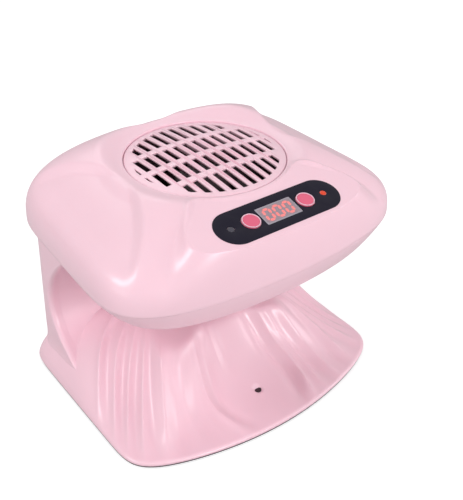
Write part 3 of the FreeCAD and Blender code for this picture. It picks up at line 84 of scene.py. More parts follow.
@dataclass(frozen=True)
class Outline:
    """A rounded four-sided plan: a superellipse whose front and rear edges bow outwards."""

    width: float
    front: float
    rear: float
    bow_front: float
    bow_rear: float
    sharpness: float
    taper: float

    @property
    def half_depth(self) -> float:
        """Half of the plan's depth without its bows."""
        return (self.rear - self.front - self.bow_front - self.bow_rear) / 2.0

    @property
    def centre_y(self) -> float:
        """Middle of the plan without its bows."""
        return self.rear - self.bow_rear - self.half_depth

    @property
    def half_width(self) -> float:
        """Half width before the taper, so that the widest place comes to the stated width."""
        across, along = self._unit(np.radians(np.arange(-90.0, 91.0)))
        return self.width / 2.0 / float((across * (1.0 - self.taper * along)).max())

    def _unit(self, angle: Array) -> tuple[Array, Array]:
        """The unit superellipse: cosine and sine divided by their power mean.

        Args:
            angle: directions, in radians.

        Returns:
            The x and y of each point.
        """
        across, along = np.cos(angle), np.sin(angle)
        size = (np.abs(across) ** self.sharpness + np.abs(along) ** self.sharpness) ** (-1.0 / self.sharpness)
        return across * size, along * size

    def points(self, angle: Array, inset: float = 0.0) -> tuple[Array, Array]:
        """Plan points in the given directions.

        Args:
            angle: directions, in radians.
            inset: how far the plan is drawn in.

        Returns:
            The x and y of each point.
        """
        across, along = self._unit(angle)
        bow = 1.0 - across**2
        x = (self.half_width - inset) * across * (1.0 - self.taper * along)
        y = self.centre_y + (self.half_depth - inset) * along
        y = y - self.bow_front * bow * ((1.0 - along) / 2.0) ** 2
        y = y + self.bow_rear * bow * ((1.0 + along) / 2.0) ** 2
        return x, y

    def ring(self, angle: Array, inset: float, height: float) -> Array:
        """The plan's points in the given directions, drawn in by the inset and set at a height."""
        x, y = self.points(angle, inset)
        return np.stack([x, y, np.full_like(x, height)], -1)

    def even_angles(self, count: int) -> Array:
        """Directions, from the rear, that divide the outline into equal lengths.

        Args:
            count: how many directions.

        Returns:
            The directions, in radians.
        """
        samples = 4321
        fine = math.pi / 2 + np.linspace(0.0, math.tau, samples)
        x, y = self.points(fine)
        length = np.concatenate([[0.0], np.cumsum(np.hypot(np.diff(x), np.diff(y)))])
        return np.interp(np.linspace(0.0, length[-1], count, endpoint=False), length, fine)


HEAD_PLAN = Outline(
    width=185.0, front=-77.5, rear=77.5, bow_front=13.0, bow_rear=10.0, sharpness=6.0, taper=0.043
)
BASE_PLAN = Outline(
    width=179.0, front=-77.5, rear=74.0, bow_front=20.5, bow_rear=6.0, sharpness=11.0, taper=0.006
)
INLET_Y = 0.4
UNDERSIDE = 91.0
BED_CENTRE = (0.0, -61.5, 135.0)
BED_TILT = 13.9


# ------------------------------------------------------------------------------ mesh building
@dataclass
class Patch:
    """A grid of points, rows by columns, whose rows are rings that close on themselves."""

    points: Array

    def quads(self, start: int) -> NDArray[np.int32]:
        """Four corner numbers per cell.

        Args:
            start: number of the patch's first point in the mesh.

        Returns:
            One row of four point numbers per face.
        """
        rows, columns = self.points.shape[:2]
        i, j = np.meshgrid(np.arange(rows - 1), np.arange(columns), indexing="ij")
        below, beside = i + 1, (j + 1) % columns
        corners = [i * columns + j, i * columns + beside, below * columns + beside, below * columns + j]
        return (np.stack(corners, -1).reshape(-1, 4) + start).astype(np.int32)


@dataclass
class Piece:
    """One object made of patches, put in its place on a body of the model.

    Each entry of fills is a list of loops: together they bound one flat face, with holes or without.
    """

    name: str
    patches: list[Patch]
    body: str
    nodes: tuple[str, ...]
    finish: str
    crease: float = 38.0
    fills: list[list[Array]] = field(default_factory=list)
    slot: str = ""

    def build(self, finishes: dict[str, "Finish"]) -> bpy.types.Object:
        """Makes the mesh, joins its doubles, turns its faces outwards and dresses it.

        Args:
            finishes: every finish by its slot.

        Returns:
            The finished object.
        """
        mesh = bpy.data.meshes.new(self.name)
        points = np.concatenate([patch.points.reshape(-1, 3) for patch in self.patches]) * METRE
        starts = np.cumsum([0] + [patch.points.shape[0] * patch.points.shape[1] for patch in self.patches])
        quads = np.concatenate([patch.quads(int(start)) for patch, start in zip(self.patches, starts)])
        mesh.vertices.add(len(points))
        mesh.vertices.foreach_set("co", points.astype(np.float32).ravel())
        mesh.loops.add(quads.size)
        mesh.loops.foreach_set("vertex_index", quads.ravel())
        mesh.polygons.add(len(quads))
        mesh.polygons.foreach_set("loop_start", np.arange(0, quads.size, 4, dtype=np.int32))
        mesh.polygons.foreach_set("loop_total", np.full(len(quads), 4, dtype=np.int32))
        mesh.update(calc_edges=True)
        self._clean(mesh)
        mesh.polygons.foreach_set("use_smooth", np.ones(len(mesh.polygons), dtype=bool))
        mesh.set_sharp_from_angle(angle=math.radians(self.crease))
        mesh.materials.append(finishes[self.finish].material())
        thing = bpy.data.objects.new(self.name, mesh)
        bpy.context.scene.collection.objects.link(thing)
        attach(thing, self.body)
        if self.nodes:
            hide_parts(*self.nodes)
        LOG.info("%s: %d faces", self.name, len(mesh.polygons))
        return thing

    def _clean(self, mesh: bpy.types.Mesh) -> None:
        """Joins doubled points, fills the stated flat faces and makes the normals face outwards.

        Args:
            mesh: the mesh, which is changed in place.
        """
        work = bmesh.new()
        work.from_mesh(mesh)
        for loops in self.fills:
            edges = []
            for loop in loops:
                corners = [work.verts.new(point * METRE) for point in loop]
                edges += [work.edges.new((a, b)) for a, b in zip(corners, corners[1:] + corners[:1])]
            bmesh.ops.triangle_fill(work, edges=edges, use_beauty=True, use_dissolve=False)
        bmesh.ops.remove_doubles(work, verts=work.verts, dist=SAME_PLACE)
        bmesh.ops.dissolve_degenerate(work, edges=work.edges, dist=NO_LENGTH)
        bmesh.ops.recalc_face_normals(work, faces=work.faces)
        if work.calc_volume(signed=True) < 0.0:
            bmesh.ops.reverse_faces(work, faces=work.faces)
        work.to_mesh(mesh)
        work.free()


def side_vectors(axis: Array) -> tuple[Array, Array]:
    """Two unit vectors at right angles to an axis and to each other.

    Args:
        axis: unit vector of the axis.

    Returns:
        The cross product of the axis with x, or with y where the axis lies near x, made one long, and
        the cross product of the axis with that.
    """
    side = np.cross(axis, ACROSS if abs(axis[0]) < 0.9 else ALONG)
    side /= np.linalg.norm(side)
    return side, np.cross(axis, side)


def turned(
    profile: Sequence[tuple[float, float]], centre: Sequence[float], axis: Array, steps: int = 48
) -> Patch:
    """A profile carried round an axis.

    Args:
        profile: radius and height of each point along the axis.
        centre: the point of the axis at height 0.
        axis: unit vector of the axis.
        steps: points round the axis.

    Returns:
        The turned surface: centre + height times axis + radius times a turning side vector.
    """
    shape = np.array(profile, dtype=float)
    side, other = side_vectors(axis)
    turn = np.linspace(0.0, math.tau, steps, endpoint=False)
    ring = np.cos(turn)[:, None] * side + np.sin(turn)[:, None] * other
    points = np.asarray(centre, dtype=float) + shape[:, None, 1:2] * axis + shape[:, None, 0:1] * ring[None]
    return Patch(points)


def rounded_loop(length: float, width: float, radius: float, steps: int = 12) -> Array:
    """A flat loop round a rectangle with round corners, in its own plane.

    Args:
        length: size along x.
        width: size along y.
        radius: corner radius.
        steps: points per corner.

    Returns:
        The loop's x and y, anticlockwise.
    """
    turn = np.linspace(0.0, math.pi / 2, steps)
    corners = []
    for number, (a, b) in enumerate([(1, 1), (-1, 1), (-1, -1), (1, -1)]):
        angle = turn + number * math.pi / 2
        x = a * (length / 2 - radius) + radius * np.cos(angle)
        y = b * (width / 2 - radius) + radius * np.sin(angle)
        corners.append(np.stack([x, y], -1))
    return np.concatenate(corners)


# ------------------------------------------------------------------------------ finishes
EVEN = (1.0, 1.0, 1.0)
BRUSHING = (1.0, 1.0, 14.0)
CLOUD_DETAIL = 3.0
RELIEF_DETAIL = 4.0
COAT_ROUGHNESS = 0.22
PLASTIC_IOR = 1.47
SOFT_RADIUS = (1.0, 0.6, 0.55)
SOFT_SCALE = 0.002
SHEEN = 0.25


class Grain(Enum):
    """How the surface of a finish is worked."""

    MOULDED = "moulded"
    BRUSHED = "brushed"
    CLOTHLIKE = "clothlike"
    LIT = "lit"
    CLEAR = "clear"


@dataclass(frozen=True)
class Finish:
    """One procedural finish: two close colours, a varying gloss and a fine relief.

    The cloud scale is that of the noise that mixes the colours and varies the gloss, per metre. The
    relief is the height of the finer noise, in metres. Cover is how much a clear finish hides.
    """

    slot: str
    colour: tuple[float, float, float]
    second: tuple[float, float, float]
    grain: Grain = Grain.MOULDED
    gloss: tuple[float, float] = (0.28, 0.36)
    cloud_scale: float = 60.0
    relief_scale: float = 700.0
    relief: float = 0.00001
    metallic: float = 0.0
    coat: float = 0.0
    glow: float = 0.0
    soft: float = 0.0
    specular: float = 0.5
    cover: float = 1.0

    def material(self) -> bpy.types.Material:
        """The material, made once and then reused.

        Returns:
            The node material of this finish.
        """
        known = bpy.data.materials.get("dryer_" + self.slot)
        if known is not None:
            return known
        material = bpy.data.materials.new("dryer_" + self.slot)
        material.use_nodes = True
        nodes, links = material.node_tree.nodes, material.node_tree.links
        shader = nodes["Principled BSDF"]
        place = nodes.new("ShaderNodeTexCoord")
        stretch = nodes.new("ShaderNodeMapping")
        stretch.inputs["Scale"].default_value = BRUSHING if self.grain is Grain.BRUSHED else EVEN
        links.new(place.outputs["Object"], stretch.inputs["Vector"])
        cloud = self._noise(nodes, self.cloud_scale, CLOUD_DETAIL)
        links.new(stretch.outputs["Vector"], cloud.inputs["Vector"])
        blend = nodes.new("ShaderNodeMix")
        blend.data_type = "RGBA"
        blend.inputs["A"].default_value = (*self.colour, 1.0)
        blend.inputs["B"].default_value = (*self.second, 1.0)
        links.new(cloud.outputs["Fac"], blend.inputs["Factor"])
        links.new(blend.outputs["Result"], shader.inputs["Base Color"])
        fine = self._noise(nodes, self.relief_scale, RELIEF_DETAIL)
        links.new(stretch.outputs["Vector"], fine.inputs["Vector"])
        gloss = nodes.new("ShaderNodeMapRange")
        gloss.inputs["To Min"].default_value, gloss.inputs["To Max"].default_value = self.gloss
        links.new(cloud.outputs["Fac"], gloss.inputs["Value"])
        links.new(gloss.outputs["Result"], shader.inputs["Roughness"])
        bump = nodes.new("ShaderNodeBump")
        bump.inputs["Distance"].default_value = self.relief
        links.new(fine.outputs["Fac"], bump.inputs["Height"])
        links.new(bump.outputs["Normal"], shader.inputs["Normal"])
        shader.inputs["Metallic"].default_value = self.metallic
        shader.inputs["Coat Weight"].default_value = self.coat
        shader.inputs["Coat Roughness"].default_value = COAT_ROUGHNESS
        shader.inputs["IOR"].default_value = PLASTIC_IOR
        shader.inputs["Specular IOR Level"].default_value = self.specular
        if self.soft > 0.0:
            shader.inputs["Subsurface Weight"].default_value = self.soft
            shader.inputs["Subsurface Radius"].default_value = SOFT_RADIUS
            shader.inputs["Subsurface Scale"].default_value = SOFT_SCALE
        if self.grain is Grain.LIT:
            links.new(blend.outputs["Result"], shader.inputs["Emission Color"])
            shader.inputs["Emission Strength"].default_value = self.glow
        if self.grain is Grain.CLEAR:
            shader.inputs["Alpha"].default_value = self.cover
        if self.grain is Grain.CLOTHLIKE:
            shader.inputs["Sheen Weight"].default_value = SHEEN
        return material

    @staticmethod
    def _noise(nodes: bpy.types.Nodes, scale: float, detail: float) -> bpy.types.Node:
        """A noise texture of the given scale, per metre.

        Args:
            nodes: the nodes of the material.
            scale: how fine it is, per metre.
            detail: how many finer layers it has.

        Returns:
            The texture node.
        """
        noise = nodes.new("ShaderNodeTexNoise")
        noise.inputs["Scale"].default_value = scale
        noise.inputs["Detail"].default_value = detail
        return noise


def plastic(slot: str, colour: tuple[float, float, float], spread: float = 0.03, **other: object) -> Finish:
    """A moulded finish whose second colour is a little darker than its first."""
    second = tuple(channel * (1.0 - spread) for channel in colour)
    return Finish(slot, colour, second, **other)


FINISHES: dict[str, Finish] = {
    finish.slot: finish
    for finish in (
        plastic("pink_shell", (0.87, 0.58, 0.665), gloss=(0.30, 0.38), relief=0.000006, coat=0.3, soft=0.06),
        plastic("pink_matt", (0.86, 0.57, 0.68), 0.04, gloss=(0.42, 0.52), relief=0.00002),
        plastic(
            "panel_black", (0.014, 0.012, 0.024), 0.25, gloss=(0.34, 0.44), relief=0.000003, specular=0.16
        ),
        plastic(
            "window_smoke", (0.55, 0.52, 0.60), 0.1, grain=Grain.CLEAR, gloss=(0.05, 0.1), relief=0.0,
            cover=0.14, specular=0.3
        ),
        plastic("display_case", (0.36, 0.24, 0.27), 0.2, cloud_scale=260.0, gloss=(0.35, 0.5)),
        plastic("display_frame", (0.40, 0.38, 0.43), 0.2, cloud_scale=260.0, gloss=(0.35, 0.5)),
        plastic("digit_red", (0.95, 0.17, 0.14), 0.15, grain=Grain.LIT, glow=0.45),
        plastic("button_pink", (0.74, 0.13, 0.22), 0.08, gloss=(0.3, 0.4), coat=0.1, specular=0.3),
        plastic("rim_pale", (0.80, 0.50, 0.60), 0.04, gloss=(0.2, 0.3), coat=0.3),
        plastic("led_grey", (0.075, 0.07, 0.09), 0.3, gloss=(0.3, 0.4), specular=0.3),
        plastic("led_red", (0.70, 0.05, 0.012), 0.3, grain=Grain.LIT, gloss=(0.12, 0.2), glow=0.15, coat=0.2),
        plastic("board_green", (0.03, 0.17, 0.07), 0.5, cloud_scale=300.0, gloss=(0.35, 0.5)),
        # dark parts in a maroon black: the pink cast is painted light, bounced off the pink walls inside the
        # head and seen through the slots
        plastic("part_black", (0.045, 0.026, 0.032), 0.3, gloss=(0.38, 0.55), relief=0.00003),
        plastic("steel", (0.60, 0.60, 0.62), 0.2, grain=Grain.BRUSHED, gloss=(0.22, 0.38), metallic=1.0),
        plastic("brass", (0.70, 0.48, 0.20), 0.25, grain=Grain.BRUSHED, gloss=(0.25, 0.4), metallic=1.0),
        plastic("mica", (0.62, 0.52, 0.36), 0.35, cloud_scale=240.0, gloss=(0.3, 0.55), relief=0.00004),
        plastic(
            "rubber_grey", (0.055, 0.05, 0.055), 0.3, grain=Grain.CLOTHLIKE, gloss=(0.65, 0.85),
            relief=0.00006
        ),
        # the bottom plate's own dark colour; where its rim shows below the base it also stands for painted
        # shade under the lip
        plastic("plate_dark", (0.055, 0.035, 0.042), 0.25, gloss=(0.5, 0.65), relief=0.00004),
        plastic(
            "wire_cover", (0.03, 0.03, 0.035), 0.3, grain=Grain.CLOTHLIKE, gloss=(0.5, 0.7), relief=0.00005
        ),
    )
}


# ------------------------------------------------------------------------------ the head
@dataclass
class HeadCasing:
    """Both halves of the head, with the inlet well, the sunken panels and the flat control bed.

    An edge is pairs of an inset and a height above the seam, and the outlet's wall is pairs of a radius
    and a height above the underside. The falls and the rounds are powers of the dome's formula.
    """

    top: float = 145.0
    crown: float = 12.1
    seam: float = 106.0
    seam_gap: float = 0.06
    upper_edge: tuple[tuple[float, float], ...] = ((0.02, 0.02), (0.20, 0.03), (2.2, 0.04))
    lower_edge: tuple[tuple[float, float], ...] = ((2.2, -0.04), (0.2, -0.03))
    underside: float = UNDERSIDE
    underside_share: tuple[float, float] = (0.878, 0.953)
    underside_shift: float = 2.8
    underside_round: float = 1.12
    outlet_wall: tuple[tuple[float, float], ...] = ((35.6, 0.0), (35.3, 0.4), (35.3, 2.5), (38.5, 2.5))
    inlet_y: float = INLET_Y
    well_radius: float = 44.5
    ledge: float = 2.4
    seat: float = 137.6
    lip_radius: float = 0.9
    lip_height: float = 140.3
    lip_slope: float = 0.5
    lip_start: float = 0.5
    lip_width: float = 15.0
    side_fall: float = 0.99
    front_fall: float = 8.0
    side_round: float = 2.77
    front_round: float = 3.17
    front_range: tuple[float, float] = (0.78, 0.985)
    tilt: float = 0.088
    bed_y: float = BED_CENTRE[1]
    bed_z: float = BED_CENTRE[2]
    bed_tilt: float = BED_TILT
    bed_rise: float = 1.0
    bed_end: float = 4.8
    petal_depth: float = 3.3
    petal_angle: float = 36.0
    petal_start: float = 2.0
    petal_opening: float = 14.0
    petal_step: tuple[float, float] = (-1.0, 7.0)
    petal_well_fade: tuple[float, float] = (2.0, 16.0)
    petal_rim_fade: tuple[float, float] = (0.84, 0.99)
    pocket_spread: float = 46.5
    pocket_step: float = 5.0
    columns: int = 600
    rows: int = 150
    lower_rows: int = 40
    lip_steps: int = 5

    def petals(self, x: Array, y: Array, share: Array) -> Array:
        """Depth of the three sunken panels.

        Each panel starts at a point beside the well and widens towards the rim: its half angle is the
        petal angle times (1 - exp(-(radius - well - start) / opening)). Inside it the top is sunk, with
        a smooth step along the edge, and the depth fades in beside the well and out at the rim.

        Args:
            x: across.
            y: along.
            share: 0 at the well's centre and 1 at the rim.

        Returns:
            How far the top is sunk at each point.
        """
        radius = np.hypot(x, y - self.inlet_y)
        heading = np.degrees(np.arctan2(y - self.inlet_y, np.abs(x)))
        beyond = np.maximum(0.0, radius - self.well_radius - self.petal_start)
        spread = self.petal_angle * (1.0 - np.exp(-beyond / self.petal_opening))
        side = radius * np.radians(spread - np.abs(heading))
        rear = radius * np.radians(spread - np.abs(heading - 90.0))
        sunk = smooth(np.maximum(side, rear), *self.petal_step)
        faded = smooth(radius - self.well_radius, *self.petal_well_fade)
        faded = faded * (1.0 - smooth(share, *self.petal_rim_fade))
        return self.petal_depth * sunk * faded

    def pocket(self, x: Array, y: Array) -> Array:
        """Share of the flat control bed: 1 inside a 93 degree fan in front of the well, 0 outside it.

        Args:
            x: across.
            y: along.

        Returns:
            The share at each point.
        """
        aside = np.degrees(np.arctan2(np.abs(x), self.inlet_y - y))
        inside = np.hypot(x, y - self.inlet_y) * np.radians(self.pocket_spread - aside)
        return smooth(inside, 0.0, self.pocket_step)

    def dome(self, angle: Array, turn: Array) -> Array:
        """Points of the dome.

        A point lies at a share of the way from the well's centre to the rim. Its height is the rim's
        height plus the rise times (1 - share to the power fall) to the power 1 / round. Both powers
        change from the sides to the front. The petals are then sunk, the height settles at the well's
        lip, and the control bed is cut to its plane.

        Args:
            angle: directions of the columns.
            turn: 0 at the well and 1 at the rim, one value per row.

        Returns:
            The points, rows by columns.
        """
        rim_x, rim_y = HEAD_PLAN.points(angle[None, :])
        reach = np.hypot(rim_x, rim_y - self.inlet_y)
        start = (self.well_radius + self.lip_radius) / reach
        front = smooth(-np.sin(angle[None, :]), *self.front_range)
        fall = self.side_fall + (self.front_fall - self.side_fall) * front
        first = np.arcsin(start ** (fall / 2.0))
        lean = first + (math.pi / 2 - first) * turn[:, None]
        share = np.sin(lean) ** (2.0 / fall)
        x = rim_x * share
        y = self.inlet_y + (rim_y - self.inlet_y) * share
        rise = self.top + self.crown - self.seam + self.tilt * y
        bend = self.side_round + (self.front_round - self.side_round) * front
        z = self.seam + rise * np.abs(np.cos(lean)) ** (2.0 / bend)
        z = z - self.petals(x, y, share)
        away = np.hypot(x, y - self.inlet_y) - self.well_radius
        own = smooth(away, self.lip_start, self.lip_start + self.lip_width)
        lip = self.lip_height + self.lip_slope * (y - self.inlet_y) / self.well_radius
        z = lip * (1.0 - own) + z * own
        bed = self.bed_z + math.tan(math.radians(self.bed_tilt)) * (y - self.bed_y)
        bed = bed + self.bed_rise * (1.0 - smooth(away, self.lip_start, self.bed_end))
        return np.stack([x, y, z - self.pocket(x, y) * np.maximum(0.0, z - bed)], -1)

    def upper(self) -> Piece:
        """The upper half: ledge, well wall, rounded lip, dome and the rounded edge at the seam.

        Returns:
            The piece.
        """
        angle = HEAD_PLAN.even_angles(self.columns)
        turn = np.linspace(0.0, 1.0, self.rows)
        dome = self.dome(angle, turn)
        rim_x, rim_y = HEAD_PLAN.points(angle)
        heading = np.arctan2(rim_y - self.inlet_y, rim_x)
        well = [self._ring(heading, self.well_radius - inwards, self.seat) for inwards in (self.ledge, 0.0)]
        for lean in np.linspace(0.0, math.pi / 2, self.lip_steps + 1)[:-1]:
            radius = self.well_radius + self.lip_radius * (1.0 - math.cos(lean))
            well.append(self._ring(heading, radius, dome[0, :, 2] - self.lip_radius * (1.0 - math.sin(lean))))
        edge = [HEAD_PLAN.ring(angle, inset, self.seam + height) for inset, height in self.upper_edge]
        dome[-1, :, 2] = self.seam + self.seam_gap
        patch = Patch(np.concatenate([np.stack(well), dome, np.stack(edge)]))
        return Piece("head_upper", [patch], "dryer", ("head_top_shell",), "pink_shell")

    def lower(self) -> Piece:
        """The lower half: from the seam round to the flat underside, up the outlet's edge and back inside.

        Below the seam the plan shrinks to its underside shares with
        (1 - drop to the power round) to the power 1 / round.

        Returns:
            The piece.
        """
        angle = HEAD_PLAN.even_angles(self.columns // 2)
        rim_x, rim_y = HEAD_PLAN.points(angle)
        drop = np.sin(np.linspace(0.0, math.pi / 2, self.lower_rows))
        opened = (1.0 - drop**self.underside_round) ** (1.0 / self.underside_round)
        share_x, share_y = (share + (1.0 - share) * opened for share in self.underside_share)
        x = rim_x * share_x[:, None]
        y = HEAD_PLAN.centre_y + (rim_y - HEAD_PLAN.centre_y) * share_y[:, None]
        y = y + (self.underside_shift * (1.0 - opened))[:, None]
        start = self.seam - self.seam_gap
        z = np.broadcast_to((start - (start - self.underside) * drop)[:, None], x.shape)
        side = np.stack([x, y, z], -1)
        rows = [HEAD_PLAN.ring(angle, inset, self.seam + height) for inset, height in self.lower_edge]
        heading = np.arctan2(side[-1, :, 1] - self.inlet_y, side[-1, :, 0])
        hole = [self._ring(heading, radius, self.underside + rise) for radius, rise in self.outlet_wall]
        flat = [side[-1] * (1.0 - inwards) + hole[0] * inwards for inwards in (0.25, 0.5, 0.75)]
        patch = Patch(np.concatenate([np.stack(rows), side, np.stack(flat + hole)]))
        return Piece("head_lower", [patch], "dryer", ("head_lower_shell",), "pink_shell")

    def _ring(self, heading: Array, radius: float, height: Array | float) -> Array:
        """A ring of points round the inlet's axis, at one height or one height per point."""
        x, y = radius * np.cos(heading), self.inlet_y + radius * np.sin(heading)
        return np.stack([x, y, np.broadcast_to(height, x.shape)], -1)


@dataclass
class SlottedDisc:
    """A round grille: straight slots between crossbars, cut off by a circle, with rounded edges.

    Edges are pairs of a distance from the wall and a depth behind the face. A slot is left out where
    less than the least opening, in square millimetres, is left of it.
    """

    name: str
    node: str
    finish: str
    radius: float
    field_radius: float
    top: float
    thickness: float
    centre_y: float
    pitch: float
    slot_width: float
    columns: int
    rows: tuple[tuple[float, float], ...]
    facing: float = 1.0
    dome_radius: float = 1e6
    flange: tuple[float, float] = (0.0, 0.0)
    draft: float = 0.0
    slot_edge: tuple[tuple[float, float], ...] = (
        (0.30, 0.0), (0.12, 0.05), (0.02, 0.18), (0.0, 0.35), (0.0, 0.6)
    )
    rim_edge: tuple[tuple[float, float], ...] = ((0.7, 0.0), (0.25, 0.12), (0.0, 0.5))
    corner: float = 0.28
    shortest: float = 0.9
    least_opening: float = 3.2
    samples: int = 69
    side_points: int = 7
    rim_points: int = 180

    def openings(self) -> list[Array]:
        """Each slot's outline, cut off by the field's circle.

        Returns:
            A list of loops, each a few points round one slot.
        """
        loops = []
        for column in range(self.columns):
            x = (column - (self.columns - 1) / 2) * self.pitch
            for low, high in self.rows:
                loop = self._clipped(x, low, high)
                if loop is not None:
                    loops.append(loop)
        return loops

    def _clipped(self, x: float, low: float, high: float) -> Array | None:
        """One slot between its two sides, its ends following the circle where that cuts it.

        Args:
            x: middle of the slot across the disc.
            low: front end of its row.
            high: rear end of its row.

        Returns:
            The slot's outline, or None where too little of it is open.
        """
        fine = np.linspace(x - self.slot_width / 2, x + self.slot_width / 2, self.samples)
        reach = np.sqrt(np.maximum(self.field_radius**2 - fine**2, 0.0))
        length = np.minimum(high, reach) - np.maximum(low, -reach)
        opened = length > self.shortest
        if float(length[opened].sum()) * (fine[1] - fine[0]) < self.least_opening:
            return None
        left, right = fine[opened][0], fine[opened][-1]
        sides = np.linspace(left, right, self.side_points)
        reach = np.sqrt(self.field_radius**2 - sides**2)
        low_end, high_end = np.maximum(low, -reach), np.minimum(high, reach)
        corner = self.corner
        sides_in = np.concatenate([[left + corner], sides[1:-1], [right - corner]])
        upper = np.stack([sides_in[::-1], high_end[::-1]], -1)
        lower = np.stack([sides_in, low_end], -1)
        runs = np.linspace(0.0, 1.0, self.side_points)
        left_y = high_end[0] - corner + (low_end[0] - high_end[0] + 2 * corner) * runs
        right_y = low_end[-1] + corner + (high_end[-1] - low_end[-1] - 2 * corner) * runs
        left_side = np.stack([np.full_like(left_y, left), left_y], -1)
        right_side = np.stack([np.full_like(right_y, right), right_y], -1)
        return np.concatenate([upper, left_side, lower, right_side])

    def _at(self, flat: Array, depth: float) -> Array:
        """Plan points set a depth behind the face, which falls by radius squared / (2 dome radius).

        Args:
            flat: plan points from the disc's middle.
            depth: how far behind the face they lie.

        Returns:
            The points in the model's frame.
        """
        fall = (flat**2).sum(-1) / (2.0 * self.dome_radius)
        height = self.top - self.facing * (fall + depth)
        return np.column_stack([flat[:, 0], flat[:, 1] + self.centre_y, height])

    def piece(self) -> Piece:
        """The grille as one piece: slot walls with rounded edges, border, top and bottom faces.

        A slot's wall is its outline scaled about its middle, so that it grows by an edge's distance.

        Returns:
            The piece.
        """
        near_zero = 0.05
        walls = []
        for loop in self.openings():
            middle = loop.mean(0)
            out = loop - middle
            size = np.maximum(np.abs(out), near_zero)
            edge = (*self.slot_edge, (self.draft, self.thickness))
            walls.append([self._at(middle + out * (1.0 + grow / size), depth) for grow, depth in edge])
        turn = np.linspace(0.0, math.tau, self.rim_points, endpoint=False)
        circle = np.stack([np.cos(turn), np.sin(turn)], -1)
        border = [(self.radius - inwards, depth) for inwards, depth in self.rim_edge]
        reach, thick = self.flange
        if reach > 0.0:
            seat = self.thickness - thick
            border += [(self.radius, seat), (reach, seat), (reach, self.thickness)]
        else:
            border.append((self.radius, self.thickness))
        walls.append([self._at(radius * circle, depth) for radius, depth in border])
        patches = [Patch(np.stack(wall)) for wall in walls]
        fills = [[wall[0] for wall in walls], [wall[-1] for wall in walls]]
        return Piece(self.name, patches, "dryer", (self.node,), self.finish, fills=fills)


